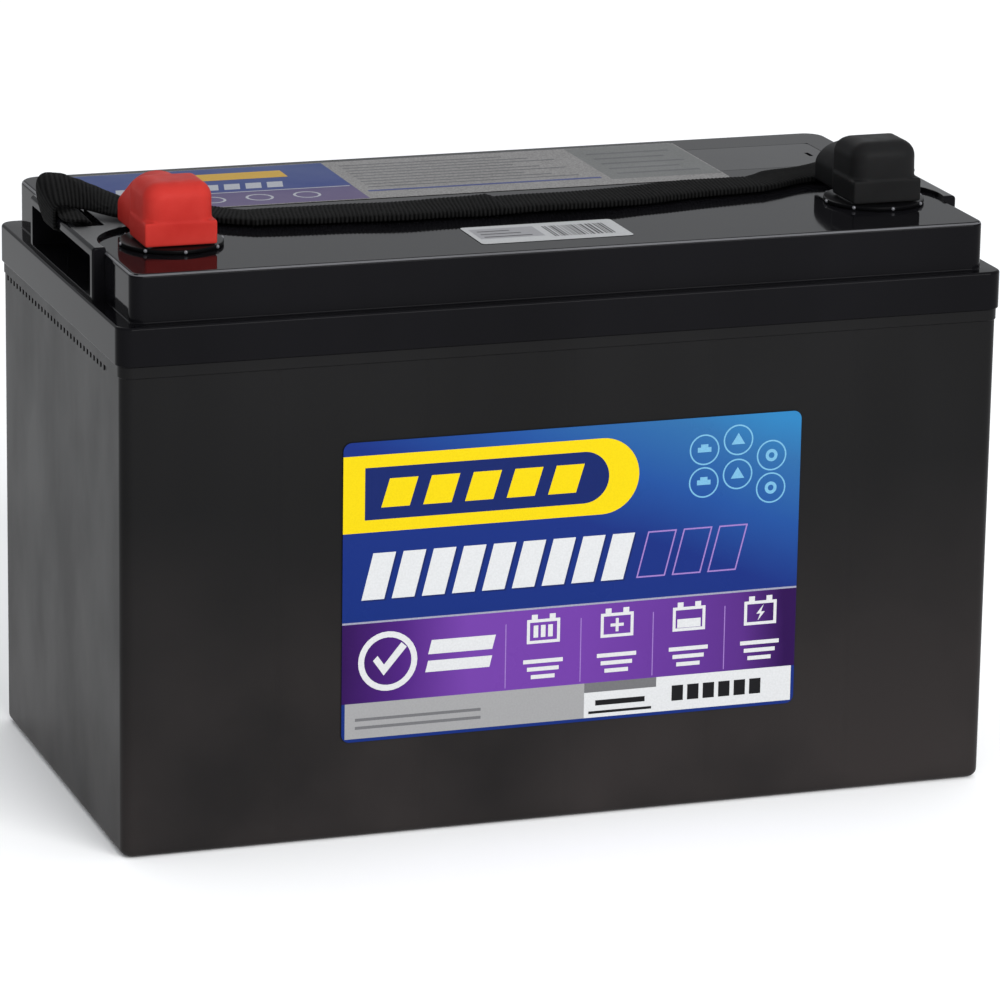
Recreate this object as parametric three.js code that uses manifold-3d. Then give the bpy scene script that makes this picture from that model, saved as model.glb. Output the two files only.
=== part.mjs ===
// A 12 volt deep cycle battery: six lead-acid cells in a moulded case, with a sealed lid,
// bolted terminals under rubber covers, and a webbing carry strap.
// Millimetres, +Z up. X runs along the length, the front face looks towards -Y, and the
// origin is the middle of the underside.

import * as THREE from 'three';
import { mergeVertices } from 'three/addons/utils/BufferGeometryUtils.js';
import Module from 'manifold-3d';

const wasm = await Module();
wasm.setup();

// ---- Driving dimensions ----

const LENGTH = 330; // over the lid's skirt
const WIDTH = 172;
const SKIRT_BOTTOM = 178.5;
const SKIRT_TOP = 192.5;
const LID_TOP = 210;
const GAP = 0.3; // between pieces that touch
const CORNER = 5; // upright corners of case and lid

const CASE_INSET = 0.8; // case side, in from the skirt's
const CASE_WALL = 3.2;
const CASE_FLOOR = 4;
const FOOT_RADIUS = 3;
const TONGUE_INSET = 1.7; // the case rim steps in to go inside the skirt
const TONGUE_TOP = 186;
const CELLS = 6;
const PARTITION = 2.2;

const LID_HALF_LENGTH = 159;
const LID_HALF_WIDTH = 81;
const LID_BACK_CORNER = 8;
const LID_EDGE = 1.5;
const ROOF = 3.5;
const SKIRT_WALL = 2.2;

const PAD_RISE = 1.5; // the handle anchor's top above the lid
const ANCHOR_X = 163.3; // outer face of the anchor
const ANCHOR_HALF_WIDTH = 44;
const PAD_INNER_X = 141;
const TERMINAL_RECESS = 26; // radius kept clear of the pad round each terminal
const WINDOW_HALF_WIDTH = 41;
const WINDOW_BOTTOM = 193.5;
const BAR_SIZE = 3; // depth of the bar that the strap goes round
const BAR_BOTTOM = 208.2;
const SLOT_INNER_X = 150;
const SLOT_HALF_WIDTH = 22;
const SLOT_Y = 11.5; // the slot's middle, behind the middle of the anchor

const GALLERY = { x: 144, yFront: 27, yBack: 59, floor: 198, top: 207 };
const STRIP_LEDGE = 2.7; // how far the cover strip laps onto the lid
const VENT_X = 140; // a slit at each end of the strip lets the gas out
const VENT_WIDTH = 1.6;
const VENT_LENGTH = 6;
const VALVE_Y = 43;
const SPIGOT_RADIUS = 4.5;
const SPIGOT_BORE = 2;
const SPIGOT_TOP = 204;

const TERMINAL_X = 133;
const TERMINAL_Y = -38;
const POST_RADIUS = 8;
const POST_TOP = 214.5;
const POST_HOLE = 8.4;
const BOSS_RADIUS = 13;
const SEAL_RADIUS = 10.2;
const SEAL_SECTION = 1.3;
const COLLAR_RADIUS = 18.4;
const COLLAR_HEIGHT = 1.4;
const COLLAR_EDGE = 0.35;
const NIBS = 8; // small pegs round the collar's edge
const NIB_SIZE = 1.2;
const THREAD_RADIUS = 3.4;
const THREAD_BORE = 3.7;
const BOLT_HEAD_RADIUS = 7.5;
const BOLT_HEAD_HEIGHT = 5.3;
const BOLT_CHAMFER = 0.8;
const WASHER_HOLE = 4.3;
const WASHER_THICKNESS = 1.4;
const SPRING_WASHER_RADIUS = 6.6;
const SPRING_WASHER_THICKNESS = 1.8;
const SPRING_WASHER_SPLIT = 1.2;

const COVER_BOTTOM = LID_TOP + GAP + COLLAR_HEIGHT + GAP;
const COVER_BLOCK_TOP = 220.5;
const COVER_TOP = 234;
const COVER_HALF_WIDTH = 13.25;
const COVER_WALL = 1.6;
const COVER_OPENING = 8; // how far the cover's inside is carried past its openings
const COVER_FOOT_FRONT = -13;
const COVER_FOOT_BACK = 8; // the square foot ends this far behind the terminal's axis
const DOME_HALF_WIDTH = 12.8;
const DOME_FRONT = -12.9; // from the terminal's axis
const DOME_BACK = 10;
const DOME_CORNER = 6.5;
const DOME_SHOULDER = 5;
const BARREL_RADIUS = 12.3;
const BARREL_AXIS_Z = 219.5;
const BARREL_BOTTOM = 213;
const BARREL_LENGTH = 28;

const PLATE_BOTTOM = 10;
const PLATE_TOP = 150;
const PLATE_HALF_WIDTH = 74;
const POSITIVE_PLATES = 5;
const POSITIVE_THICKNESS = 3.4;
const NEGATIVE_THICKNESS = 2.4;
const SHEET = 1.3; // glass mat
const SHEET_GAP = 0.32;
const BUS_Y = 38;
const BUS_BOTTOM = 158;
const BUS_TOP = 164;
const BUS_HALF_WIDTH = 8;
const TAB_TOP = 178;
const TAB_THICKNESS = 4;
const LINK_Z = 171;
const LINK_RADIUS = 4.7;
const LINK_HOLE = 5;
const LINK_FLANGE = 6.5;
const LINK_FLANGE_THICKNESS = 1;

const WEBBING = 1.3;
const STRAP_WIDTH = 18.5; // folded in half along its length
const STRAP_FOLDED = 5.4;
const STRAP_Z = 213.3;
const LOOP_Y = 12; // where the strap goes round the bar
const GRIP_HALF_LENGTH = 97.5;

const LABEL = 0.2;
const LABEL_GAP = 0.1;
const FRONT_LABEL = { length: 172, height: 110, corner: 3, x: 2, z: 91 };
const TOP_LABEL = { length: 237, width: 63, corner: 2, x: -22, y: 43.5 };
const BARCODE_LABEL = { length: 57, width: 26, corner: 1.5, x: 0.5, y: -55 };

const ROUND = 24; // sides of round pieces
const SMALL_ROUND = 12;
const CORNER_STEPS = 2; // half the steps in each quarter of a rounded outline
const REACH = 400; // longer than the object, for trimming

// Sizes that follow from these

const CASE_HALF_LENGTH = LENGTH / 2 - CASE_INSET;
const CASE_HALF_WIDTH = WIDTH / 2 - CASE_INSET;
const CASE_TOP = SKIRT_BOTTOM - GAP;
const INNER_HALF_LENGTH = CASE_HALF_LENGTH - CASE_WALL;
const INNER_HALF_WIDTH = CASE_HALF_WIDTH - CASE_WALL;
const CELL_PITCH = (2 * INNER_HALF_LENGTH + PARTITION) / CELLS;
const CELL_WIDTH = CELL_PITCH - PARTITION;
const SOCKET_TOP = TONGUE_TOP + GAP;
const PAD_TOP = LID_TOP + PAD_RISE;
const cellX = (cell) => (cell - (CELLS - 1) / 2) * CELL_PITCH;

// ---- Materials ----

function material(color, roughness, metalness = 0) {
  return new THREE.MeshStandardMaterial({ color, roughness, metalness });
}

const CASE_PLASTIC = material(0x3a3a3d, 0.42);
const LID_PLASTIC = material(0x48484d, 0.25);
const STRIP_PLASTIC = material(0x404044, 0.35);
const VALVE_RUBBER = material(0x1a1a1a, 0.8);
const POSITIVE_LEAD = material(0x5b4a42, 0.75, 0.4);
const NEGATIVE_LEAD = material(0x7d8084, 0.6, 0.6);
const LINK_LEAD = material(0x8d9094, 0.5, 0.7);
const GLASS_MAT = material(0xe8e6e0, 0.95);
const POST_BRASS = material(0xb59a5e, 0.35, 0.9);
const BOLT_STEEL = material(0xb4b6b8, 0.3, 0.95);
const SEAL_RUBBER = material(0x141414, 0.7);
const COLLAR_PLASTIC = material(0x17171a, 0.2);
const RED_RUBBER = material(0xb3271f, 0.45);
const BLACK_RUBBER = material(0x202022, 0.5);
const WEBBING_BLACK = material(0x18181a, 0.9);
const LABEL_BLUE = material(0x2c4f9a, 0.4);
const LABEL_SILVER = material(0x8c9096, 0.45);
const LABEL_WHITE = material(0xdcdee0, 0.6);

const battery = new THREE.Group();

function addNode(name, geometry, look) {
  const mesh = new THREE.Mesh(geometry, look);
  mesh.name = name;
  battery.add(mesh);
  return mesh;
}

// ---- Shape helpers ----

function box(x0, x1, y0, y1, z0, z1) {
  const geometry = new THREE.BoxGeometry(x1 - x0, y1 - y0, z1 - z0);
  return geometry.translate((x0 + x1) / 2, (y0 + y1) / 2, (z0 + z1) / 2);
}

// A rectangle about the origin with its own radius at the front and back corners.
function roundedOutline(halfX, halfY, frontRadius, backRadius = frontRadius) {
  const quarter = Math.PI / 2;
  const outline = new THREE.Shape();
  outline.absarc(halfX - frontRadius, -halfY + frontRadius, frontRadius, -quarter, 0);
  outline.absarc(halfX - backRadius, halfY - backRadius, backRadius, 0, quarter);
  outline.absarc(-halfX + backRadius, halfY - backRadius, backRadius, quarter, 2 * quarter);
  outline.absarc(-halfX + frontRadius, -halfY + frontRadius, frontRadius, 2 * quarter, 3 * quarter);
  return outline;
}

function prism(outline, z0, z1, curveSegments = CORNER_STEPS) {
  const options = { depth: z1 - z0, bevelEnabled: false, curveSegments };
  return new THREE.ExtrudeGeometry(outline, options).translate(0, 0, z0);
}

// A prism with both its end edges rounded.
function softPrism(outline, z0, z1, edge) {
  const options = {
    depth: z1 - z0 - 2 * edge,
    bevelThickness: edge,
    bevelSize: edge,
    bevelOffset: -edge,
    bevelSegments: 2,
    curveSegments: CORNER_STEPS,
  };
  return new THREE.ExtrudeGeometry(outline, options).translate(0, 0, z0 + edge);
}

// A turned piece about Z from [radius, z] points, listed upwards along its outside.
function turned(profile, segments = ROUND) {
  const points = profile.map(([radius, z]) => new THREE.Vector2(radius, z));
  return new THREE.LatheGeometry(points, segments).rotateX(Math.PI / 2);
}

function ring(inner, outer, z0, z1, segments = ROUND) {
  return turned([[inner, z0], [outer, z0], [outer, z1], [inner, z1], [inner, z0]], segments);
}

function disc(radius, z0, z1, segments = ROUND) {
  return turned([[0, z0], [radius, z0], [radius, z1], [0, z1]], segments);
}

// The same geometry as a solid that can be cut and joined.
function solid(geometry) {
  const bare = geometry.clone();
  bare.deleteAttribute('normal');
  bare.deleteAttribute('uv');
  const welded = mergeVertices(bare, 1e-4);
  const corners = welded.index.array;
  const triangles = [];
  for (let i = 0; i < corners.length; i += 3) {
    const [a, b, c] = corners.slice(i, i + 3);
    if (a !== b && b !== c && c !== a) triangles.push(a, b, c);
  }
  return new wasm.Manifold(new wasm.Mesh({
    numProp: 3,
    vertProperties: new Float32Array(welded.attributes.position.array),
    triVerts: new Uint32Array(triangles),
  }));
}

function toGeometry(body) {
  const mesh = body.getMesh();
  const geometry = new THREE.BufferGeometry();
  geometry.setAttribute('position', new THREE.BufferAttribute(mesh.vertProperties, 3));
  geometry.setIndex(new THREE.BufferAttribute(mesh.triVerts, 1));
  return geometry;
}

const join = (first, ...rest) => rest.reduce((whole, piece) => whole.add(solid(piece)), solid(first));
const cut = (body, pieces) => pieces.reduce((left, piece) => left.subtract(solid(piece)), body);
const trimAbove = (body, z) => body.subtract(solid(box(-REACH, REACH, -REACH, REACH, z, REACH)));
const trimBelow = (body, z) => body.subtract(solid(box(-REACH, REACH, -REACH, REACH, -REACH, z)));

// ---- Case ----

function caseGeometry() {
  const side = roundedOutline(CASE_HALF_LENGTH, CASE_HALF_WIDTH, CORNER);
  const rim = roundedOutline(
    CASE_HALF_LENGTH - TONGUE_INSET, CASE_HALF_WIDTH - TONGUE_INSET, CORNER - TONGUE_INSET);
  const lower = trimAbove(solid(softPrism(side, 0, CASE_TOP + 2 * FOOT_RADIUS, FOOT_RADIUS)), CASE_TOP);
  const tongue = solid(prism(rim, CASE_TOP - 1, TONGUE_TOP));
  const cellSpaces = [];
  for (let cell = 0; cell < CELLS; cell += 1) {
    const x = cellX(cell);
    cellSpaces.push(box(x - CELL_WIDTH / 2, x + CELL_WIDTH / 2,
      -INNER_HALF_WIDTH, INNER_HALF_WIDTH, CASE_FLOOR, REACH));
  }
  return toGeometry(cut(lower.add(tongue), [...cellSpaces, ...linkHoles()]));
}

// Each link goes through a partition, on the side where the two cells' bus bars meet.
function linkPlaces() {
  const places = [];
  for (let cell = 0; cell < CELLS - 1; cell += 1) {
    places.push({ x: cellX(cell) + CELL_PITCH / 2, y: negativeBusY(cell) });
  }
  return places;
}

function linkHoles() {
  return linkPlaces().map(({ x, y }) =>
    disc(LINK_HOLE, -PARTITION, PARTITION, SMALL_ROUND).rotateY(Math.PI / 2).translate(x, y, LINK_Z));
}

// ---- Lid ----

function anchorBlock() {
  return box(-ANCHOR_X, -PAD_INNER_X, -ANCHOR_HALF_WIDTH, ANCHOR_HALF_WIDTH, SKIRT_TOP - 1, PAD_TOP);
}

// The round clearances that are taken out of one end's anchor by the terminals.
function anchorClearances() {
  return [TERMINAL_Y, -TERMINAL_Y].map((y) =>
    disc(TERMINAL_RECESS, LID_TOP, LID_TOP + 5).translate(-TERMINAL_X, y, 0));
}

// The window in the end face at side, -1 or 1, and the slot in the top behind its bar.
function handleOpenings(side) {
  const middle = (side * (SLOT_INNER_X + ANCHOR_X - BAR_SIZE)) / 2;
  const half = (ANCHOR_X - BAR_SIZE - SLOT_INNER_X) / 2;
  const slot = box(middle - half, middle + half, SLOT_Y - SLOT_HALF_WIDTH, SLOT_Y + SLOT_HALF_WIDTH,
    BAR_BOTTOM - 1, PAD_TOP + 1);
  const outside = side * LENGTH;
  const inside = side * SLOT_INNER_X;
  const window = box(Math.min(outside, inside), Math.max(outside, inside),
    -WINDOW_HALF_WIDTH, WINDOW_HALF_WIDTH, WINDOW_BOTTOM, BAR_BOTTOM);
  return [window, slot];
}

function mirrored(geometry) {
  return geometry.clone().rotateZ(Math.PI);
}

// Hollows above each cell: a tall one at the front, and a low one under the vent gallery.
function lidHollows() {
  const hollows = [];
  const wall = LID_HALF_WIDTH - ROOF;
  const galleryFront = GALLERY.yFront - ROOF;
  const end = SLOT_INNER_X - ROOF;
  for (let cell = 0; cell < CELLS; cell += 1) {
    const x = cellX(cell);
    const left = Math.max(x - CELL_WIDTH / 2, -end);
    const right = Math.min(x + CELL_WIDTH / 2, end);
    hollows.push(box(left, right, -wall, galleryFront, SOCKET_TOP - 1, LID_TOP - ROOF));
    hollows.push(box(left, right, galleryFront - 1, wall, SOCKET_TOP - 1, GALLERY.floor - ROOF));
  }
  return hollows;
}

function ventRecesses() {
  const { x, yFront, yBack, floor, top } = GALLERY;
  const gallery = box(-x, x, yFront, yBack, floor, LID_TOP + 1);
  const ledge = box(-x - STRIP_LEDGE - GAP, x + STRIP_LEDGE + GAP,
    yFront - STRIP_LEDGE - GAP, yBack + STRIP_LEDGE + GAP, top - GAP, LID_TOP + 1);
  return [gallery, ledge];
}

function lidGeometry() {
  const skirtOutline = roundedOutline(LENGTH / 2, WIDTH / 2, CORNER + CASE_INSET);
  const skirt = trimBelow(solid(softPrism(skirtOutline, SKIRT_BOTTOM - 2, SKIRT_TOP, 1)), SKIRT_BOTTOM);
  const top = roundedOutline(LID_HALF_LENGTH, LID_HALF_WIDTH, CORNER, LID_BACK_CORNER);
  const raised = trimBelow(solid(softPrism(top, SKIRT_BOTTOM, LID_TOP, LID_EDGE)), SKIRT_TOP - 1);
  const clearances = anchorClearances();
  const anchor = cut(solid(anchorBlock()), clearances);
  const otherAnchor = cut(solid(mirrored(anchorBlock())), clearances.map(mirrored));

  const socket = prism(roundedOutline(
    LENGTH / 2 - SKIRT_WALL, WIDTH / 2 - SKIRT_WALL, CORNER + CASE_INSET - SKIRT_WALL),
  SKIRT_BOTTOM - 1, SOCKET_TOP);
  let lid = skirt.add(raised).add(anchor).add(otherAnchor);
  lid = cut(lid, [
    socket, ...handleOpenings(-1), ...handleOpenings(1), ...lidHollows(), ...ventRecesses()]);

  for (const side of [-1, 1]) {
    const place = (piece) => piece.translate(side * TERMINAL_X, TERMINAL_Y, 0);
    lid = lid.add(solid(place(disc(BOSS_RADIUS, SOCKET_TOP, LID_TOP - 1))));
    lid = cut(lid, [
      place(disc(POST_HOLE, SOCKET_TOP - 2, LID_TOP + 1)),
      place(disc(SEAL_RADIUS + SEAL_SECTION + GAP, LID_TOP - 2 * SEAL_SECTION - GAP, LID_TOP + 1)),
    ]);
  }
  for (let cell = 0; cell < CELLS; cell += 1) {
    const place = (piece) => piece.translate(cellX(cell), VALVE_Y, 0);
    lid = lid.add(solid(place(disc(SPIGOT_RADIUS, GALLERY.floor - 1, SPIGOT_TOP, SMALL_ROUND))));
    lid = cut(lid, [place(disc(SPIGOT_BORE, SOCKET_TOP, SPIGOT_TOP + 1, SMALL_ROUND))]);
  }
  return toGeometry(lid);
}

// ---- Vent cover strip and relief valves ----

function stripGeometry() {
  const halfX = GALLERY.x + STRIP_LEDGE;
  const halfY = (GALLERY.yBack - GALLERY.yFront) / 2 + STRIP_LEDGE;
  const middleY = (GALLERY.yBack + GALLERY.yFront) / 2;
  const strip = solid(prism(roundedOutline(halfX, halfY, 2, 2), GALLERY.top, LID_TOP));
  const vents = [-1, 1].map((end) => {
    const x = end * VENT_X;
    return box(x - VENT_WIDTH / 2, x + VENT_WIDTH / 2, -VENT_LENGTH / 2, VENT_LENGTH / 2,
      GALLERY.top - 1, LID_TOP + 1);
  });
  return toGeometry(cut(strip, vents)).translate(0, middleY, 0);
}

function valveGeometry() {
  const capTop = GALLERY.top - 0.8;
  const bore = SPIGOT_RADIUS + GAP;
  const outside = bore + 1.6;
  return turned([
    [0, SPIGOT_TOP + GAP],
    [bore, SPIGOT_TOP + GAP],
    [bore, GALLERY.floor + 1],
    [outside, GALLERY.floor + 1],
    [outside, capTop],
    [0, capTop],
  ], SMALL_ROUND);
}

// ---- Cells ----

// The bus bars change sides from cell to cell, so that the links join neighbours in series.
const positiveBusY = (cell) => (cell % 2 === 0 ? -BUS_Y : BUS_Y);
const negativeBusY = (cell) => -positiveBusY(cell);

const plateStep = (POSITIVE_THICKNESS + NEGATIVE_THICKNESS) / 2 + SHEET + 2 * SHEET_GAP;

// Middle of plate number i, of the alternating stack that starts and ends with a negative one.
const plateX = (index) => (index - POSITIVE_PLATES) * plateStep;

// Plates joined by a bus bar over their lugs, with an upright tab at one or both ends.
function plateGroup(plates, thickness, busY, tabSides) {
  const first = plates[0] - thickness / 2;
  const last = plates[plates.length - 1] + thickness / 2;
  const lugHalfWidth = 6;
  const bar = box(first, last, busY - BUS_HALF_WIDTH, busY + BUS_HALF_WIDTH, BUS_BOTTOM, BUS_TOP);
  const pieces = [];
  for (const x of plates) {
    const [x0, x1] = [x - thickness / 2, x + thickness / 2];
    pieces.push(box(x0, x1, -PLATE_HALF_WIDTH, PLATE_HALF_WIDTH, PLATE_BOTTOM, PLATE_TOP));
    pieces.push(box(x0, x1, busY - lugHalfWidth, busY + lugHalfWidth, PLATE_TOP - 1, BUS_BOTTOM + 1));
  }
  const tabFace = CELL_WIDTH / 2 - 2 * GAP - LINK_FLANGE_THICKNESS;
  for (const side of tabSides) {
    const [x0, x1] = [side * tabFace, side * (tabFace - TAB_THICKNESS)].sort((a, b) => a - b);
    pieces.push(box(x0, x1, busY - BUS_HALF_WIDTH, busY + BUS_HALF_WIDTH, BUS_BOTTOM, TAB_TOP));
    pieces.push(box(Math.min(x0, first), Math.max(x1, last),
      busY - BUS_HALF_WIDTH, busY + BUS_HALF_WIDTH, BUS_BOTTOM, BUS_TOP));
  }
  return toGeometry(join(bar, ...pieces));
}

// The outline of a strip of the given thickness along a path of square turns.
function squareFoldOutline(path, thickness) {
  const half = thickness / 2;
  const normal = (from, to) => {
    const direction = new THREE.Vector2().subVectors(to, from).normalize();
    return new THREE.Vector2(-direction.y, direction.x);
  };
  const side = (sign) => path.map((point, i) => {
    const before = i > 0 ? normal(path[i - 1], point) : normal(point, path[i + 1]);
    const after = i < path.length - 1 ? normal(point, path[i + 1]) : before;
    const offset = before.equals(after) ? before.clone() : before.clone().add(after);
    return point.clone().addScaledVector(offset, sign * half);
  });
  return new THREE.Shape([...side(1), ...side(-1).reverse()]);
}

// One long sheet of glass mat, folded back and forth between the plates.
function separatorGeometry() {
  const reach = PLATE_HALF_WIDTH + SHEET / 2 + 1;
  const path = [];
  for (let gap = 0; gap < 2 * POSITIVE_PLATES; gap += 1) {
    const positiveIsRight = gap % 2 === 0;
    const leftThickness = positiveIsRight ? NEGATIVE_THICKNESS : POSITIVE_THICKNESS;
    const x = plateX(gap) + leftThickness / 2 + SHEET_GAP + SHEET / 2;
    const startY = positiveIsRight ? -reach : reach;
    path.push(new THREE.Vector2(x, startY), new THREE.Vector2(x, -startY));
  }
  return prism(squareFoldOutline(path, SHEET), PLATE_BOTTOM - 2, PLATE_TOP + 3);
}

function linkGeometry() {
  const inner = PARTITION / 2 + GAP;
  const outer = inner + LINK_FLANGE_THICKNESS;
  return turned([
    [0, -outer],
    [LINK_FLANGE, -outer],
    [LINK_FLANGE, -inner],
    [LINK_RADIUS, -inner],
    [LINK_RADIUS, inner],
    [LINK_FLANGE, inner],
    [LINK_FLANGE, outer],
    [0, outer],
  ], SMALL_ROUND).rotateY(Math.PI / 2);
}

// ---- Terminals ----

function postGeometry() {
  const boreBottom = LID_TOP - 10;
  return turned([
    [0, BUS_TOP + GAP],
    [POST_RADIUS, BUS_TOP + GAP],
    [POST_RADIUS, POST_TOP],
    [THREAD_BORE, POST_TOP],
    [THREAD_BORE, boreBottom],
    [0, boreBottom],
  ]);
}

function sealGeometry() {
  const seal = new THREE.TorusGeometry(SEAL_RADIUS, SEAL_SECTION - 0.1, 6, 20);
  return seal.translate(0, 0, LID_TOP - SEAL_SECTION);
}

function collarGeometry() {
  const bottom = LID_TOP + GAP;
  const top = bottom + COLLAR_HEIGHT;
  const inside = POST_RADIUS + GAP + 0.7;
  const rim = turned([
    [inside, bottom],
    [COLLAR_RADIUS - COLLAR_EDGE, bottom],
    [COLLAR_RADIUS, bottom + COLLAR_EDGE],
    [COLLAR_RADIUS, top - COLLAR_EDGE],
    [COLLAR_RADIUS - COLLAR_EDGE, top],
    [inside, top],
    [inside, bottom],
  ]);
  const nibs = [];
  for (let nib = 0; nib < NIBS; nib += 1) {
    const angle = ((nib + 0.5) * 2 * Math.PI) / NIBS;
    const peg = box(COLLAR_RADIUS - 2, COLLAR_RADIUS + NIB_SIZE / 2, -NIB_SIZE / 2, NIB_SIZE / 2,
      bottom + COLLAR_EDGE, top - COLLAR_EDGE);
    nibs.push(peg.rotateZ(angle));
  }
  return toGeometry(join(rim, ...nibs));
}

const washerBottom = POST_TOP + 0.2;
const springWasherBottom = washerBottom + WASHER_THICKNESS + 0.2;
const boltHeadBottom = springWasherBottom + SPRING_WASHER_THICKNESS + 0.2;

// A ring with a split.
function springWasherGeometry() {
  const top = springWasherBottom + SPRING_WASHER_THICKNESS;
  const washer = solid(ring(WASHER_HOLE, SPRING_WASHER_RADIUS, springWasherBottom, top));
  const split = box(0, SPRING_WASHER_RADIUS + 1, -SPRING_WASHER_SPLIT / 2, SPRING_WASHER_SPLIT / 2,
    springWasherBottom - 1, top + 1);
  return toGeometry(cut(washer, [split]));
}

function boltGeometry() {
  const headTop = boltHeadBottom + BOLT_HEAD_HEIGHT;
  const head = turned([
    [0, boltHeadBottom],
    [BOLT_HEAD_RADIUS, boltHeadBottom],
    [BOLT_HEAD_RADIUS, headTop - BOLT_CHAMFER],
    [BOLT_HEAD_RADIUS - BOLT_CHAMFER, headTop],
    [0, headTop],
  ], 6);
  return toGeometry(join(head, disc(THREAD_RADIUS, LID_TOP - 8, boltHeadBottom + 1, SMALL_ROUND)));
}

// The cover's outside, or its inside when it is made smaller by the wall on every side:
// a square foot, a domed head, and a barrel for the cable that runs back from it.
function coverForm(shrink) {
  const half = COVER_HALF_WIDTH - shrink;
  const open = shrink > 0 ? COVER_OPENING : 0;
  const bottom = COVER_BOTTOM - open;
  const foot = box(-half, half, COVER_FOOT_FRONT + shrink, COVER_FOOT_BACK,
    bottom, COVER_BLOCK_TOP - shrink);

  const headHalf = DOME_HALF_WIDTH - shrink;
  const headHalfDepth = (DOME_BACK - DOME_FRONT) / 2 - shrink;
  const head = softPrism(roundedOutline(headHalf, headHalfDepth, DOME_CORNER - shrink),
    bottom, COVER_TOP - shrink, DOME_SHOULDER - shrink);
  head.translate(0, (DOME_BACK + DOME_FRONT) / 2, 0);

  const barrel = BARREL_RADIUS - shrink;
  const arch = new THREE.Shape();
  arch.moveTo(-barrel, BARREL_BOTTOM - open);
  arch.lineTo(barrel, BARREL_BOTTOM - open);
  arch.absarc(0, BARREL_AXIS_Z, barrel, 0, Math.PI);
  const length = BARREL_LENGTH + open;
  const options = { depth: length, bevelEnabled: false, curveSegments: 7 };
  const tunnel = new THREE.ExtrudeGeometry(arch, options);
  tunnel.rotateX(Math.PI / 2).translate(0, length, 0);
  return join(foot, head, tunnel);
}

function coverGeometry() {
  return toGeometry(coverForm(0).subtract(coverForm(COVER_WALL)));
}

// ---- Carry strap ----

// A closed band through stations of {x, y, z, width, thickness}, its width along Y.
function bandGeometry(stations) {
  const positions = [];
  stations.forEach((station, i) => {
    const before = stations[Math.max(i - 1, 0)];
    const after = stations[Math.min(i + 1, stations.length - 1)];
    const along = new THREE.Vector2(after.x - before.x, after.z - before.z).normalize();
    const upX = (-along.y * station.thickness) / 2;
    const upZ = (along.x * station.thickness) / 2;
    for (const [across, up] of [[-1, -1], [1, -1], [1, 1], [-1, 1]]) {
      positions.push(station.x + up * upX, station.y + (across * station.width) / 2, station.z + up * upZ);
    }
  });
  const triangles = [0, 3, 2, 0, 2, 1];
  const end = 4 * (stations.length - 1);
  triangles.push(end, end + 1, end + 2, end, end + 2, end + 3);
  for (let i = 0; i < end; i += 4) {
    for (let side = 0; side < 4; side += 1) {
      const next = (side + 1) % 4;
      triangles.push(i + side, i + next, i + 4 + next, i + side, i + 4 + next, i + 4 + side);
    }
  }
  const geometry = new THREE.BufferGeometry();
  geometry.setAttribute('position', new THREE.Float32BufferAttribute(positions, 3));
  geometry.setIndex(triangles);
  return geometry;
}

// The left end: a loop round the anchor's bar, then an arch that folds down to the lid and
// goes behind the terminal cover.
function strapEndStations() {
  const clear = GAP + WEBBING / 2;
  const outer = -ANCHOR_X - clear;
  const inner = -ANCHOR_X + BAR_SIZE + clear;
  const under = BAR_BOTTOM - clear;
  const over = PAD_TOP + clear;
  const station = (x, y, z, width = STRAP_WIDTH, thickness = WEBBING) => ({ x, y, z, width, thickness });
  return [
    station(inner, LOOP_Y, over - 1.8),
    station(inner, LOOP_Y, under + 0.8),
    station(inner - 0.8, LOOP_Y, under),
    station(outer + 0.8, LOOP_Y, under),
    station(outer, LOOP_Y, under + 0.8),
    station(outer, 15, over - 0.8, 21),
    station(outer, 17.5, 216, 25),
    station(outer + 1, 20, 218.8, 30),
    station(-160, 22, 220.2, 34),
    station(-155, 21.5, 219.6, 34),
    station(-150, 17, 217.8, 30),
    station(-144.5, 11, 216, 25),
    station(-139, 6.5, 215, 21.5, 2.2),
    station(-132, 3.6, 214.4, 19, 3.4),
    station(-124, 2.6, STRAP_Z + 0.4, STRAP_WIDTH, 4.4),
    station(-117, 1, STRAP_Z, STRAP_WIDTH, STRAP_FOLDED),
    station(-110, -5, STRAP_Z, STRAP_WIDTH, STRAP_FOLDED),
    station(-103, -11, STRAP_Z, STRAP_WIDTH, STRAP_FOLDED),
    station(-GRIP_HALF_LENGTH - GAP, -14.8, STRAP_Z, STRAP_WIDTH, STRAP_FOLDED),
  ];
}

// The grip: the folded webbing between the ends, lying a little forward of the middle.
function gripStations() {
  const count = 12;
  const stations = [];
  for (let i = 0; i <= count; i += 1) {
    const x = GRIP_HALF_LENGTH * ((2 * i) / count - 1);
    const forward = 1 - (x / GRIP_HALF_LENGTH) ** 4;
    stations.push({ x, y: -15 - 9 * forward, z: STRAP_Z, width: STRAP_WIDTH, thickness: STRAP_FOLDED });
  }
  return stations;
}

const acrossMiddle = (stations) => stations.map((station) => ({ ...station, x: -station.x })).reverse();

// ---- Labels ----

function flatLabelGeometry({ length, width, corner, x, y }) {
  const outline = roundedOutline(length / 2, width / 2, corner);
  return prism(outline, LID_TOP + LABEL_GAP, LID_TOP + LABEL_GAP + LABEL).translate(x, y, 0);
}

function frontLabelGeometry({ length, height, corner, x, z }) {
  const outline = roundedOutline(length / 2, height / 2, corner);
  const face = CASE_HALF_WIDTH + LABEL_GAP;
  return prism(outline, face, face + LABEL).rotateX(Math.PI / 2).translate(x, 0, z);
}

// ---- Assembly ----

addNode('container', caseGeometry(), CASE_PLASTIC);
addNode('lid', lidGeometry(), LID_PLASTIC);
addNode('vent_cover_strip', stripGeometry(), STRIP_PLASTIC);

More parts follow.
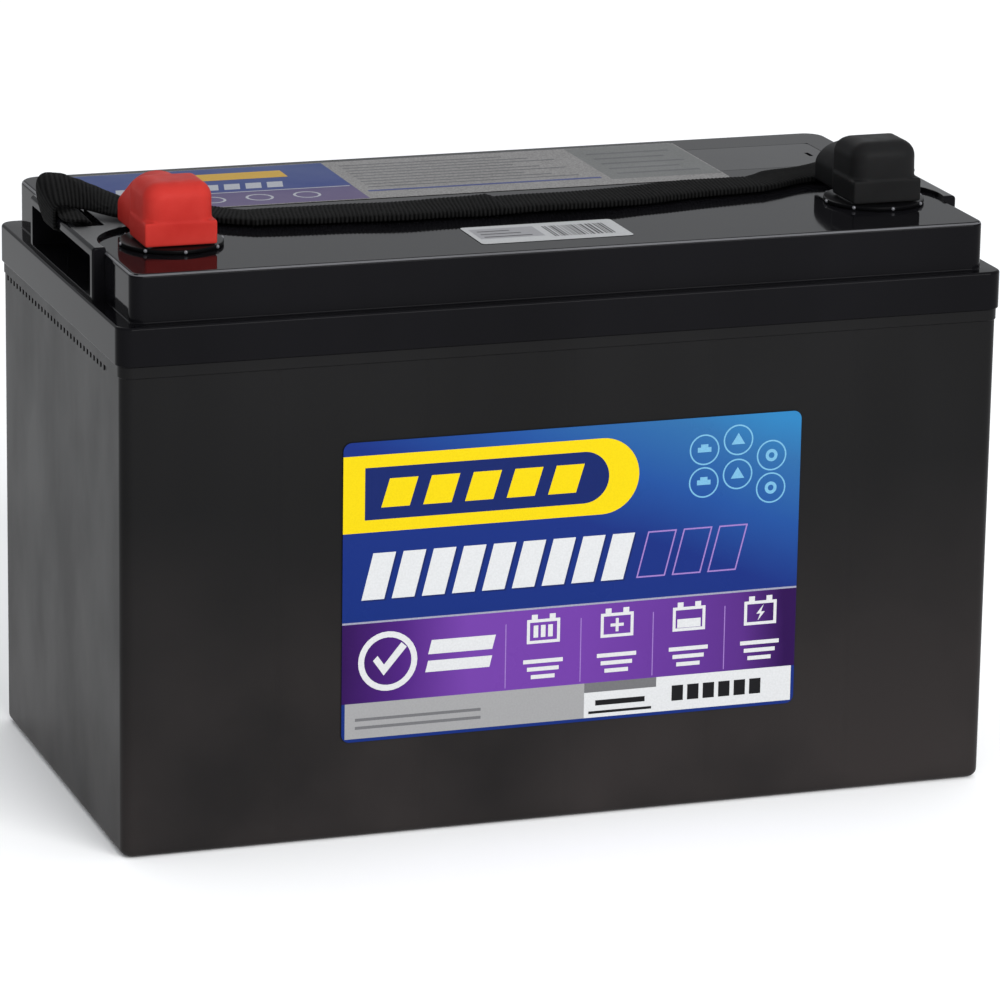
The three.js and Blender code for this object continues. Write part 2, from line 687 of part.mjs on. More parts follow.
for (let cell = 0; cell < CELLS; cell += 1) {
  const number = cell + 1;
  const x = cellX(cell);
  const positives = [];
  const negatives = [];
  for (let plate = 0; plate <= 2 * POSITIVE_PLATES; plate += 1) {
    (plate % 2 === 0 ? negatives : positives).push(plateX(plate));
  }
  const positiveTabs = cell > 0 ? [-1] : [];
  const negativeTabs = cell < CELLS - 1 ? [1] : [];
  addNode(`cell_${number}_positive_plates`,
    plateGroup(positives, POSITIVE_THICKNESS, positiveBusY(cell), positiveTabs),
    POSITIVE_LEAD).position.x = x;
  addNode(`cell_${number}_negative_plates`,
    plateGroup(negatives, NEGATIVE_THICKNESS, negativeBusY(cell), negativeTabs),
    NEGATIVE_LEAD).position.x = x;
  addNode(`cell_${number}_separator`, separatorGeometry(), GLASS_MAT).position.x = x;
  addNode(`relief_valve_${number}`, valveGeometry(), VALVE_RUBBER).position.set(x, VALVE_Y, 0);
}

linkPlaces().forEach(({ x, y }, i) => {
  addNode(`intercell_link_${i + 1}`, linkGeometry(), LINK_LEAD).position.set(x, y, LINK_Z);
});

const flatWasher = ring(WASHER_HOLE, POST_RADIUS, washerBottom, washerBottom + WASHER_THICKNESS);
for (const [pole, side, coverRubber] of [['positive', -1, RED_RUBBER], ['negative', 1, BLACK_RUBBER]]) {
  const pieces = [
    ['terminal', postGeometry(), POST_BRASS],
    ['seal', sealGeometry(), SEAL_RUBBER],
    ['collar', collarGeometry(), COLLAR_PLASTIC],
    ['flat_washer', flatWasher.clone(), BOLT_STEEL],
    ['spring_washer', springWasherGeometry(), BOLT_STEEL],
    ['bolt', boltGeometry(), BOLT_STEEL],
    ['terminal_cover', coverGeometry(), coverRubber],
  ];
  for (const [piece, geometry, look] of pieces) {
    addNode(`${pole}_${piece}`, geometry, look).position.set(side * TERMINAL_X, TERMINAL_Y, 0);
  }
}

addNode('strap_left_end', bandGeometry(strapEndStations()), WEBBING_BLACK);
addNode('strap_grip', bandGeometry(gripStations()), WEBBING_BLACK);
addNode('strap_right_end', bandGeometry(acrossMiddle(strapEndStations())), WEBBING_BLACK);

addNode('front_label', frontLabelGeometry(FRONT_LABEL), LABEL_BLUE);
addNode('top_label', flatLabelGeometry(TOP_LABEL), LABEL_SILVER);
addNode('barcode_label', flatLabelGeometry(BARCODE_LABEL), LABEL_WHITE);

export default battery;
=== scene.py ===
"""The looks of a deep cycle battery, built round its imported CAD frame.

Lengths in this file are millimetres in the row frame, and turn into metres as a mesh is made.
"""
import random
from math import copysign, cos, exp, pi, radians, sin

import bmesh
import bpy
from mathutils import Matrix, Vector


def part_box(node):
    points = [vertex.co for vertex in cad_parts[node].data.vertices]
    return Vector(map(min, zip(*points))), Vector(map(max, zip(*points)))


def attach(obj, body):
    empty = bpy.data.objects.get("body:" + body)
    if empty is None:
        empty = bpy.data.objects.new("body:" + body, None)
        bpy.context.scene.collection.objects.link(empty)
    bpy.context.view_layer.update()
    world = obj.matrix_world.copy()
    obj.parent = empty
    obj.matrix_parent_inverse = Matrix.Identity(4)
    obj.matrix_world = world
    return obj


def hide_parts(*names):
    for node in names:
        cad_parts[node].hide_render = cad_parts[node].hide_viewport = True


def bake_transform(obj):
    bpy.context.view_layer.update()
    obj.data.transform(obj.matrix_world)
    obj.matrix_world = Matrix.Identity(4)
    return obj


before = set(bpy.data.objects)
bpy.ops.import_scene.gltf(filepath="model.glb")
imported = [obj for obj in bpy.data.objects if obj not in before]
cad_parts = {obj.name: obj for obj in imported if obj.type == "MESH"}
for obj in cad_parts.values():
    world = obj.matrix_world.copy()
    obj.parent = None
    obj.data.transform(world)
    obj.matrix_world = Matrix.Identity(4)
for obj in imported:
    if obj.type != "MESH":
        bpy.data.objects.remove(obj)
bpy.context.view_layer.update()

MM = 0.001
ROOT = "battery"
random.seed(7)


def span(node):
    """Lowest and highest corner of a CAD node, in millimetres."""
    low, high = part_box(node)
    return low / MM, high / MM


LID_LOW, LID_HIGH = span("lid")
CASE_HIGH = span("container")[1]
HALF_LENGTH = LID_HIGH.x
HALF_WIDTH = LID_HIGH.y
SKIRT_BOTTOM = LID_LOW.z
PAD_TOP = LID_HIGH.z
LID_TOP = PAD_TOP - 1.5
SKIRT_TOP = SKIRT_BOTTOM + 14
CASE_TOP = SKIRT_BOTTOM - 0.06
TONGUE_TOP = CASE_HIGH.z
CORNER = 5
CELLS = 6
PARTITION = 2.2
CASE_WALL = 3.2
CELL_PITCH = (2 * (CASE_HIGH.x - CASE_WALL) + PARTITION) / CELLS
PARTITIONS = [(i + 1 - CELLS / 2) * CELL_PITCH for i in range(CELLS - 1)]
CELL_CENTRES = [(i - (CELLS - 1) / 2) * CELL_PITCH for i in range(CELLS)]

LID_HALF_LENGTH = 159
LID_HALF_WIDTH = 81
ANCHOR_X = 163.3
TERMINAL_X = (span("negative_bolt")[0].x + span("negative_bolt")[1].x) / 2
TERMINAL_Y = (span("negative_bolt")[0].y + span("negative_bolt")[1].y) / 2


# ---- Camera, floor and light

def new_object(name, data):
    made = bpy.data.objects.new(name, data)
    bpy.context.scene.collection.objects.link(made)
    return made


def make_camera():
    """The photograph's angle: from the front left, a little above, through a long lens."""
    data = bpy.data.cameras.new("camera")
    camera = new_object("camera", data)
    azimuth, elevation, roll = map(radians, (-19.04, 15.72, 0.92))
    level = cos(elevation)
    back = Vector((sin(azimuth) * level, -cos(azimuth) * level, sin(elevation)))
    camera.location = Vector((-643.7, -1875.4, 654.2)) * MM
    camera.rotation_mode = "QUATERNION"
    turn = (-back).to_track_quat("-Z", "Y")
    camera.rotation_quaternion = turn @ Matrix.Rotation(roll, 4, "Z").to_quaternion()
    data.lens = 200.4
    data.sensor_width = 36
    data.clip_start = 0.05
    data.clip_end = 60
    bpy.context.scene.camera = camera


def make_floor():
    size = 14
    corners = [(-size, -size, 0), (size, -size, 0), (size, size, 0), (-size, size, 0)]
    mesh = bpy.data.meshes.new("floor")
    mesh.from_pydata(corners, [], [(0, 1, 2, 3)])
    floor = new_object("floor", mesh)
    floor.location.z = -0.0004
    mesh.materials.append(noisy_material("floor_paper", (0.93, 0.93, 0.93), 0.9, 0.01, 3))


def add_area_light(name, place, target, size, power):
    data = bpy.data.lights.new(name, "AREA")
    data.shape = "RECTANGLE"
    data.size, data.size_y = size
    data.energy = power
    light = new_object(name, data)
    light.location = place
    light.rotation_mode = "QUATERNION"
    light.rotation_quaternion = (Vector(target) - Vector(place)).to_track_quat("-Z", "Y")


def make_lights():
    add_area_light("front_softbox", (0.5, -2.7, 1.35), (0, 0, 0.1), (2.4, 1.6), 106)
    add_area_light("top_softbox", (0.6, 0.2, 2.8), (0, 0, 0.1), (2.0, 1.6), 7)
    add_area_light("back_softbox", (0.2, 3.4, 2.4), (0, 1.2, 0), (3.0, 1.2), 28)
    world = bpy.data.worlds.new("studio")
    bpy.context.scene.world = world
    world.use_nodes = True
    background = world.node_tree.nodes["Background"]
    background.inputs["Color"].default_value = (0.95, 0.97, 1, 1)
    background.inputs["Strength"].default_value = 0.78
    bpy.context.scene.view_settings.view_transform = "Standard"


# ---- Materials

def node_tree(name):
    """A new material, its node tree and its shader."""
    material = bpy.data.materials.new(name)
    material.use_nodes = True
    tree = material.node_tree
    return material, tree, tree.nodes["Principled BSDF"]


def set_inputs(tree, node, inputs):
    """Gives each input its value, or links it where the value is a socket."""
    for name, value in inputs.items():
        if isinstance(value, bpy.types.NodeSocket):
            tree.links.new(value, node.inputs[name])
        else:
            node.inputs[name].default_value = value


def add_node(tree, kind, inputs):
    node = tree.nodes.new(kind)
    set_inputs(tree, node, inputs)
    return node


def maths(tree, operation, *values):
    node = tree.nodes.new("ShaderNodeMath")
    node.operation = operation
    set_inputs(tree, node, dict(enumerate(values)))
    return node.outputs["Value"]


def mix_colours(tree, share, first, second):
    node = tree.nodes.new("ShaderNodeMix")
    node.data_type = "RGBA"
    set_inputs(tree, node, {"Factor": share, "A": first, "B": second})
    return node.outputs["Result"]


def object_place(tree):
    return tree.nodes.new("ShaderNodeTexCoord").outputs["Object"]


def object_noise(tree, scale, detail=4.0, stretch=(1, 1, 1)):
    """Noise in the piece's own space, scale in cycles for each metre."""
    mapping = add_node(tree, "ShaderNodeMapping", {"Scale": stretch, "Vector": object_place(tree)})
    inputs = {"Scale": scale, "Detail": detail, "Vector": mapping.outputs["Vector"]}
    return add_node(tree, "ShaderNodeTexNoise", inputs).outputs["Fac"]


def ramp(tree, source, *stops):
    """A colour ramp through stops of (place, colour)."""
    node = add_node(tree, "ShaderNodeValToRGB", {"Fac": source})
    elements = node.color_ramp.elements
    elements[0].position, elements[1].position = stops[0][0], stops[-1][0]
    elements[0].color, elements[1].color = (*stops[0][1], 1), (*stops[-1][1], 1)
    for place, colour in stops[1:-1]:
        elements.new(place).color = (*colour, 1)
    return node.outputs["Color"]


def value_range(tree, source, low, high, start=0.3, end=0.7):
    """Carries start to end over to low to high."""
    inputs = {"From Min": start, "From Max": end, "To Min": low, "To Max": high, "Value": source}
    return add_node(tree, "ShaderNodeMapRange", inputs).outputs["Result"]


def add_bump(tree, shader, source, height, strength):
    """Bump from a height texture, on top of any before it, height in millimetres."""
    inputs = {"Strength": strength, "Distance": height * MM, "Height": source}
    normal = shader.inputs["Normal"]
    if normal.links:
        inputs["Normal"] = normal.links[0].from_socket
    bump = add_node(tree, "ShaderNodeBump", inputs)
    tree.links.new(bump.outputs["Normal"], normal)


def scaled(colour, factor):
    return tuple(min(1.0, part * factor) for part in colour)


def mottled(tree, source, colour, spread):
    low, high = scaled(colour, 1 - spread), scaled(colour, 1 + spread)
    return ramp(tree, source, (0.35, low), (0.65, high))


def noisy_material(name, colour, roughness, spread=0.1, scale=120, metallic=0.0, wander=0.05):
    """A plain finish whose colour and gloss wander a little over the surface."""
    material, tree, shader = node_tree(name)
    shade = mottled(tree, object_noise(tree, scale), colour, spread)
    gloss = object_noise(tree, scale * 0.37, 6)
    gloss = value_range(tree, gloss, roughness - wander, roughness + wander)
    set_inputs(tree, shader, {"Base Color": shade, "Roughness": gloss, "Metallic": metallic})
    return material


def height_share(tree, low, high):
    """1 at height low and below, falling to 0 at height high, in millimetres."""
    split = add_node(tree, "ShaderNodeSeparateXYZ", {"Vector": object_place(tree)})
    return value_range(tree, split.outputs["Z"], 1, 0, low * MM, high * MM)


def moulded_plastic(name, colour, roughness, ior, grain=0.0, wander=0.04, handling=0.0, painted_floor_reflection=None):
    """Moulded plastic: a faint flow in the colour, handling marks in the gloss, fine grain,
    and, when its colour is given, a lighter warm haze in patches that thickens toward the foot: a
    painted reflection of the floor."""
    material, tree, shader = node_tree(name)
    flow = object_noise(tree, 14, 3, (1, 1, 0.3))
    shade = ramp(tree, flow, (0.35, scaled(colour, 0.86)), (0.65, scaled(colour, 1.16)))
    # Lighter warm patches toward the foot: painted floor reflection.
    if painted_floor_reflection:
        patches = value_range(tree, object_noise(tree, 11, 4), 0.35, 1, 0.35, 0.62)
        amount = maths(tree, "MULTIPLY", height_share(tree, 8, 125), patches)
        shade = mix_colours(tree, amount, shade, (*painted_floor_reflection, 1))
    marks = object_noise(tree, 35, 8, (1, 1, 0.5))
    low, high = max(0.02, roughness - wander), roughness + wander
    gloss = value_range(tree, marks, low, high, 0.35, 0.68)
    set_inputs(tree, shader, {"Base Color": shade, "Roughness": gloss, "IOR": ior})
    if handling:
        add_bump(tree, shader, object_noise(tree, 9, 2), handling, 0.35)
    if grain:
        add_bump(tree, shader, object_noise(tree, 2600, 2), grain, 0.4)
    return material


def soft_rubber(name, colour, worn, roughness):
    """Soft moulded cover: satin, with dull handled patches and a very fine orange peel."""
    material, tree, shader = node_tree(name)
    gloss = object_noise(tree, 110, 6)
    set_inputs(tree, shader, {
        "Base Color": ramp(tree, object_noise(tree, 60, 5), (0.3, worn), (0.62, colour)),
        "Roughness": value_range(tree, gloss, roughness - 0.07, roughness + 0.09),
        "IOR": 1.08, "Subsurface Weight": 0.04, "Subsurface Scale": 0.001,
    })
    add_bump(tree, shader, object_noise(tree, 900, 3), 0.03, 0.3)
    return material


def printed_film(name, colour, spread=0.03, roughness=0.32, ior=1.16):
    """Ink on satin film, with a fine print mottle."""
    material, tree, shader = node_tree(name)
    shade = mottled(tree, object_noise(tree, 1500, 2), colour, spread)
    finish_film(tree, shader, shade, roughness, ior)
    return material


def finish_film(tree, shader, shade, roughness, ior):
    """The gloss and the slight waviness of printed film."""
    gloss = value_range(tree, object_noise(tree, 45, 5), roughness - 0.05, roughness + 0.06)
    set_inputs(tree, shader, {"Base Color": shade, "Roughness": gloss, "IOR": ior})
    add_bump(tree, shader, object_noise(tree, 40, 2), 0.05, 0.25)


def gradient_film(name, stops, low, high, roughness=0.3, ior=1.16):
    """Printed film whose colour runs from point low to point high, both in millimetres.
    stops are (place, colour) along that line."""
    material, tree, shader = node_tree(name)
    line = Vector(high) - Vector(low)
    along = tree.nodes.new("ShaderNodeVectorMath")
    along.operation = "DOT_PRODUCT"
    set_inputs(tree, along, {0: object_place(tree), 1: line / (line.length_squared * MM)})
    start = Vector(low).dot(line) / line.length_squared
    share = maths(tree, "SUBTRACT", along.outputs["Value"], start)
    wobble = maths(tree, "MULTIPLY_ADD", object_noise(tree, 30, 3), 0.05, share)
    finish_film(tree, shader, ramp(tree, wobble, *stops), roughness, ior)
    return material


def woven_webbing(name, colour):
    """Polypropylene webbing: slanted ribs with crests painted lighter and gaps darker, a painted
    highlight and shade, and a little lint.
    """
    material, tree, shader = node_tree(name)
    ribs = tree.nodes.new("ShaderNodeUVMap")
    ribs.uv_map = "ribs"
    bands_in_wave = 20
    rib_wave = add_node(tree, "ShaderNodeTexWave", {
        "Scale": 2 * pi / (bands_in_wave * RIB_PITCH * MM), "Distortion": 0.6, "Detail": 2,
        "Detail Scale": 3, "Vector": ribs.outputs["UV"],
    }).outputs["Fac"]
    lint = object_noise(tree, 900, 5)
    # From dark in the rib gaps to far lighter on the crests, flecked by lint: painted shade and
    # highlight.
    low, high = (*scaled(colour, 0.35), 1), (*scaled(colour, 6.5), 1)
    shade = mix_colours(tree, maths(tree, "MULTIPLY", rib_wave, lint), low, high)
    gloss = value_range(tree, lint, 0.55, 0.75)
    set_inputs(tree, shader, {"Base Color": shade, "Roughness": gloss, "IOR": 1.06})
    add_bump(tree, shader, rib_wave, 0.12, 0.5)
    add_bump(tree, shader, lint, 0.05, 0.4)
    return material


def make_materials():
    gloss_black = (0.0036, 0.0035, 0.0042)
    plastic = {
        # The case's last colour is its painted floor reflection, lightening toward the foot.
        "case": ((0.0058, 0.0057, 0.0059), 0.34, 1.14, 0.012, 0.04, 0.0, (0.02, 0.0172, 0.0168)),
        "lid": (gloss_black, 0.07, 1.105, 0.0, 0.02, 0.02),
        "strip": (gloss_black, 0.1, 1.13),
        "pad": ((0.0055, 0.0055, 0.0062), 0.3, 1.24, 0.01),
        # Lighter grey for the lid's upper outer rounds: a painted highlight.
        "painted_edge_highlight": ((0.075, 0.075, 0.08), 0.28, 1.3, 0.01),
        "collar": ((0.0022, 0.0022, 0.0025), 0.3, 1.1),
        # The collar's pegs are light grey so they show as bright dots: painted glints.
        "peg": ((0.11, 0.11, 0.12), 0.25, 1.4),
    }
    rubber = {
        "red": ((0.36, 0.028, 0.022), (0.3, 0.017, 0.0135), 0.42),
        "black": ((0.0098, 0.0098, 0.01), (0.0075, 0.0075, 0.0077), 0.4),
    }
    other = {
        "valve": ("valve_rubber", (0.012, 0.012, 0.012), 0.7, 0.25),
        "seal": ("seal_rubber", (0.01, 0.01, 0.01), 0.5, 0.2),
        "positive_lead": ("positive_lead", (0.11, 0.07, 0.05), 0.72, 0.35, 500, 0.3, 0.1),
        "negative_lead": ("negative_lead", (0.22, 0.22, 0.23), 0.6, 0.25, 500, 0.6, 0.1),
        "link_lead": ("link_lead", (0.3, 0.3, 0.31), 0.45, 0.2, 300, 0.8, 0.1),
        "glass_mat": ("glass_mat", (0.8, 0.79, 0.75), 0.9, 0.06, 1500),
        "brass": ("post_brass", (0.55, 0.4, 0.17), 0.3, 0.12, 200, 1.0, 0.08),
        "steel": ("bolt_steel", (0.55, 0.55, 0.56), 0.28, 0.1, 350, 1.0, 0.08),
    }
    looks = {key: moulded_plastic(f"{key}_plastic", *rest) for key, rest in plastic.items()}
    looks.update({key: soft_rubber(f"{key}_rubber", *rest) for key, rest in rubber.items()})
    looks.update({key: noisy_material(*rest) for key, rest in other.items()})
    looks["webbing"] = woven_webbing("webbing", (0.0022, 0.0022, 0.0022))
    return looks


# ---- Mesh helpers

def link_object(name, mesh, materials, smooth_angle=30):
    """Flat shaded where smooth_angle is None."""
    piece = new_object(name, mesh)
    for material in materials:
        mesh.materials.append(material)
    if smooth_angle is not None:
        mesh.polygons.foreach_set("use_smooth", [True] * len(mesh.polygons))
        mesh.set_sharp_from_angle(angle=radians(smooth_angle))
    return piece


def weigh_normals(piece):
    """Keeps big flat faces flat where they meet small rounds."""
    modifier = piece.modifiers.new("weighted_normals", "WEIGHTED_NORMAL")
    modifier.mode = "FACE_AREA"
    modifier.weight = 80
    modifier.keep_sharp = True


def bm_from(vertices, faces):
    form = bmesh.new()
    made = [form.verts.new(Vector(v) * MM) for v in vertices]
    for face in faces:
        form.faces.new([made[i] for i in face])
    bmesh.ops.recalc_face_normals(form, faces=form.faces)
    return form


def to_mesh(name, form):
    mesh = bpy.data.meshes.new(name)
    form.to_mesh(mesh)
    form.free()
    return mesh


def loft(rings, closed=False):
    """A form through rings of the same number of points, capped or brought back to the first."""
    count = len(rings[0])
    vertices = [point for one in rings for point in one]
    faces = []
    for level in range(len(rings) if closed else len(rings) - 1):
        base, following = level * count, (level + 1) % len(rings) * count
        for i in range(count):
            after = (i + 1) % count
            faces.append((base + i, base + after, following + after, following + i))
    if not closed:
        faces.append(tuple(reversed(range(count))))
        faces.append(tuple(range(len(vertices) - count, len(vertices))))
    return bm_from(vertices, faces)


def rounded_ring(half_x, half_y, front, back, z, steps=8, marks=(), depth=0.0):
    """A rounded rectangle of points at height z, with the radii of its front and back corners.
    marks are places along X where the long sides are drawn in by depth."""
    points = []
    for right, rear, radius, start in ((1, -1, front, -90), (1, 1, back, 0),
                                       (-1, 1, back, 90), (-1, -1, front, 180)):
        radius = max(radius, 0.05)
        cx, cy = right * (half_x - radius), rear * (half_y - radius)
        points += arc(cx, cy, radius, start, start + 90, steps)
        if right == rear:
            for mark in sorted(marks, reverse=rear > 0):
                for offset in (-2.4, -1.2, 0, 1.2, 2.4):
                    inward = depth * (1 - abs(offset) / 2.4) ** 2
                    points.append((mark - rear * offset, rear * (half_y - inward)))
    return [(x, y, z) for x, y in points]


def arc(cx, cy, radius, start, end, steps):
    """Points along a round, from one angle to another in degrees."""
    angles = [radians(start + (end - start) * k / steps) for k in range(steps + 1)]
    return [(cx + radius * cos(angle), cy + radius * sin(angle)) for angle in angles]


def turned(profile, segments=64, centre=(0, 0)):
    """A closed turned form from (radius, z) points that start and end on the axis."""
    (cx, cy), vertices, faces, rows = centre, [], [], []
    for radius, z in profile:
        if radius < 1e-6:
            rows.append([len(vertices)])
            vertices.append((cx, cy, z))
            continue
        rows.append(list(range(len(vertices), len(vertices) + segments)))
        for i in range(segments):
            angle = 2 * pi * i / segments
            vertices.append((cx + radius * cos(angle), cy + radius * sin(angle), z))
    for lower, upper in zip(rows, rows[1:]):
        for i in range(segments):
            after = (i + 1) % segments
            corners = [lower[i % len(lower)], lower[after % len(lower)],
                       upper[after % len(upper)], upper[i % len(upper)]]
            kept = list(dict.fromkeys(corners))
            if len(kept) > 2:
                faces.append(tuple(kept))
    return bm_from(vertices, faces)


def drum(radius, low, high, segments, centre):
    return turned([(0, low), (radius, low), (radius, high), (0, high)], segments, centre)


def block(low, high, edge=0.0, segments=2):
    """A box between two corners, with all its edges rounded by edge."""
    (x0, y0, z0), (x1, y1, z1) = low, high
    vertices = [(x, y, z) for z in (z0, z1) for y in (y0, y1) for x in (x0, x1)]
    faces = [(0, 2, 3, 1), (4, 5, 7, 6), (0, 1, 5, 4), (1, 3, 7, 5), (3, 2, 6, 7), (2, 0, 4, 6)]
    form = bm_from(vertices, faces)
    if edge:
        bmesh.ops.bevel(form, geom=form.edges[:], offset=edge * MM, segments=segments,
                        profile=0.5, affect="EDGES")
    return form


def merged(forms):
    """Several forms as one, each still a body of its own."""
    whole = bmesh.new()
    for form in forms:
        mesh = to_mesh("part", form)
        whole.from_mesh(mesh)
        bpy.data.meshes.remove(mesh)
    return whole


def combine(form, others, operation):
    """form joined with or cut by each of others, as a new form."""
    piece = new_object("work", to_mesh("work", form))
    tools = []
    for other in others:
        tool = new_object("tool", to_mesh("tool", other))
        modifier = piece.modifiers.new("boolean", "BOOLEAN")
        modifier.operation = operation
        modifier.object = tool
        modifier.solver = "EXACT"
        tools.append(tool)
    depsgraph = bpy.context.evaluated_depsgraph_get()
    result = bmesh.new()
    result.from_mesh(piece.evaluated_get(depsgraph).to_mesh())
    for thing in [piece, *tools]:
        mesh = thing.data
        bpy.data.objects.remove(thing)
        bpy.data.meshes.remove(mesh)
    return result


def soften_edges(form, chosen, offset):
    """Rounds the sharp convex edges whose middle, in millimetres, chosen accepts."""
    edges = []
    for edge in form.edges:
        if edge.is_convex and edge.calc_face_angle(0) > radians(40):
            if chosen((edge.verts[0].co + edge.verts[1].co) / (2 * MM)):
                edges.append(edge)
    bmesh.ops.bevel(form, geom=edges, offset=offset * MM, segments=2, profile=0.5,
                    affect="EDGES", clamp_overlap=True)


def arc_levels(radius, steps, turn_in=True):
    """(inset, height) pairs up a quarter round: from the side in to the end face above it, or
    else out from the end face below it."""
    pairs = [(radius - x, y) for x, y in arc(0, 0, radius, 0, 90, steps)]
    return pairs if turn_in else [(a, radius - h) for a, h in reversed(pairs)]


# ---- Case

def case_ring(z, inset, depth=0.0):
    radius = CORNER - inset
    return rounded_ring(CASE_HIGH.x - inset, CASE_HIGH.y - inset, radius, radius, z,
                        marks=PARTITIONS, depth=depth)


def make_case(looks):
    """The case: rounded foot, faint sinks at the partitions, and a toothed lip under the skirt."""
    foot, recess, sink, tongue_inset, floor = 3, 0.4, 0.3, 1.7, 4
    lip = CASE_TOP - 4.0
    rings = [case_ring(height, inset + recess) for inset, height in arc_levels(foot, 6, False)]
    rings += [case_ring(foot + 2, recess, sink), case_ring(lip - 2, recess, sink)]
    for z, inset in ((lip - 0.4, recess), (lip, 0), (CASE_TOP - 0.2, 0), (CASE_TOP, 0.2),
                     (CASE_TOP, tongue_inset), (TONGUE_TOP - 0.3, tongue_inset),
                     (TONGUE_TOP, tongue_inset + 0.3)):
        rings.append(case_ring(z, inset))
    teeth = []
    tooth, tooth_pitch, count, depth, offset = 2.7, 4.6, 31, 1.2, 8
    for side in (-1, 1):
        face = side * CASE_HIGH.x
        back, front = sorted((face, face - side * depth))
        for number in range(count):
            y = (number - (count - 1) / 2) * tooth_pitch + offset
            low, high = (back, y - tooth / 2, lip - 2.2), (front, y + tooth / 2, lip + 0.5)
            teeth.append(block(low, high, 0.15, 1))
    body = combine(loft(rings), [merged(teeth)], "UNION")
    half, inner = (CELL_PITCH - PARTITION) / 2, CASE_HIGH.y - CASE_WALL
    wells = [block((x - half, -inner, floor), (x + half, inner, TONGUE_TOP + 5))
             for x in CELL_CENTRES]
    body = combine(body, [merged(wells)], "DIFFERENCE")
    piece = link_object("case_shell", to_mesh("case_shell", body), [looks["case"]])
    weigh_normals(piece)
    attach(piece, ROOT)
    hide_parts("container")


# ---- Lid

def anchor_form(side):
    """One end's raised handle pad, with a round outer top edge."""
    radius, inner, floor = 1.5, 141, SKIRT_TOP - 1
    profile = [(inner, floor), (ANCHOR_X, floor)]
    for step in range(7):
        angle = pi / 2 * step / 6
        profile.append((ANCHOR_X - radius + radius * cos(angle),
                        PAD_TOP - radius + radius * sin(angle)))
    profile.append((inner, PAD_TOP))
    rings = []
    for y, inset in ((-44, 0.7), (-43.7, 0.25), (-43.2, 0), (43.2, 0), (43.7, 0.25), (44, 0.7)):
        rings.append([(side * (x - (inset if x > inner + 1 else 0)), y,
                       z - (inset if z > SKIRT_TOP + 1 else 0)) for x, z in profile])
    return loft(rings)


def lid_cutters():
    """What is hollow in the lid: the case's socket, cell hollows, handle windows and slots, and
    the vent gallery with its ledge."""
    skirt_wall, side_wall, end, bar = 2.2, 3.5, 146.5, 150
    corner = CORNER + 0.8 - skirt_wall
    socket = [rounded_ring(HALF_LENGTH - skirt_wall, HALF_WIDTH - skirt_wall, corner, corner, z)
              for z in (SKIRT_BOTTOM - 2, TONGUE_TOP + 0.3)]
    cutters = [loft(socket)]
    wall, half = LID_HALF_WIDTH - side_wall, (CELL_PITCH - PARTITION) / 2
    for x in CELL_CENTRES:
        left, right = max(x - half, -end), min(x + half, end)
        for front, back, top in ((-wall, 23.5, LID_TOP - 3.5), (22.5, wall, 194.5)):
            cutters.append(block((left, front, TONGUE_TOP - 1), (right, back, top)))
    window = (200, -41, 41, SKIRT_TOP + 1, 208.2)
    slot = (ANCHOR_X - 3, -10.5, 33.5, 205, PAD_TOP + 3)
    for side in (-1, 1):
        for x, front, back, bottom, top in (window, slot):
            left, right = sorted((side * bar, side * x))
            cutters.append(block((left, front, bottom), (right, back, top), 0.8))
    cutters.append(block((-144, 27, 198), (144, 59, LID_TOP + 3)))
    cutters.append(block((-147, 24, LID_TOP - 3.3), (147, 62, LID_TOP + 3)))
    return cutters


def lid_body():
    """The lid's outside from the foot up: the skirt, then the raised part."""
    def skirt(z, inset):
        radius = CORNER + 0.8 - inset
        return rounded_ring(HALF_LENGTH - inset, HALF_WIDTH - inset, radius, radius, z)

    def raised(z, inset):
        return rounded_ring(LID_HALF_LENGTH - inset, LID_HALF_WIDTH - inset, CORNER - inset,
                            8 - inset, z)

    rings = [skirt(SKIRT_BOTTOM + height, inset) for inset, height in arc_levels(0.4, 3, False)]
    rings += [skirt(SKIRT_TOP - 1 + height, inset) for inset, height in arc_levels(1, 4)]
    for step in range(4):
        angle = pi / 2 * step / 3
        rings.append(raised(SKIRT_TOP + 0.5 * (1 - cos(angle)), -0.5 * (1 - sin(angle))))
    rings += [raised(LID_TOP - 1.5 + height, inset) for inset, height in arc_levels(1.5, 6)]
    return loft(rings)


def mark_lid_regions(body):
    """Gives the handle pads' tops a satin finish, and the lid's upper outer rounds a lighter grey,
    a painted highlight.
    """
    for face in body.faces:
        middle = face.calc_center_median() / MM
        outside = abs(middle.x) > LID_HALF_LENGTH - 1.6 or abs(middle.y) > LID_HALF_WIDTH - 1.6
        if abs(middle.x) > 140 and middle.z > PAD_TOP - 0.1 and face.normal.z > 0.9:
            face.material_index = 1
        # Rounds facing up and outward take the painted highlight.
        elif outside and LID_TOP - 1.4 < middle.z < LID_TOP and 0.4 < face.normal.z < 0.8:
            face.material_index = 2


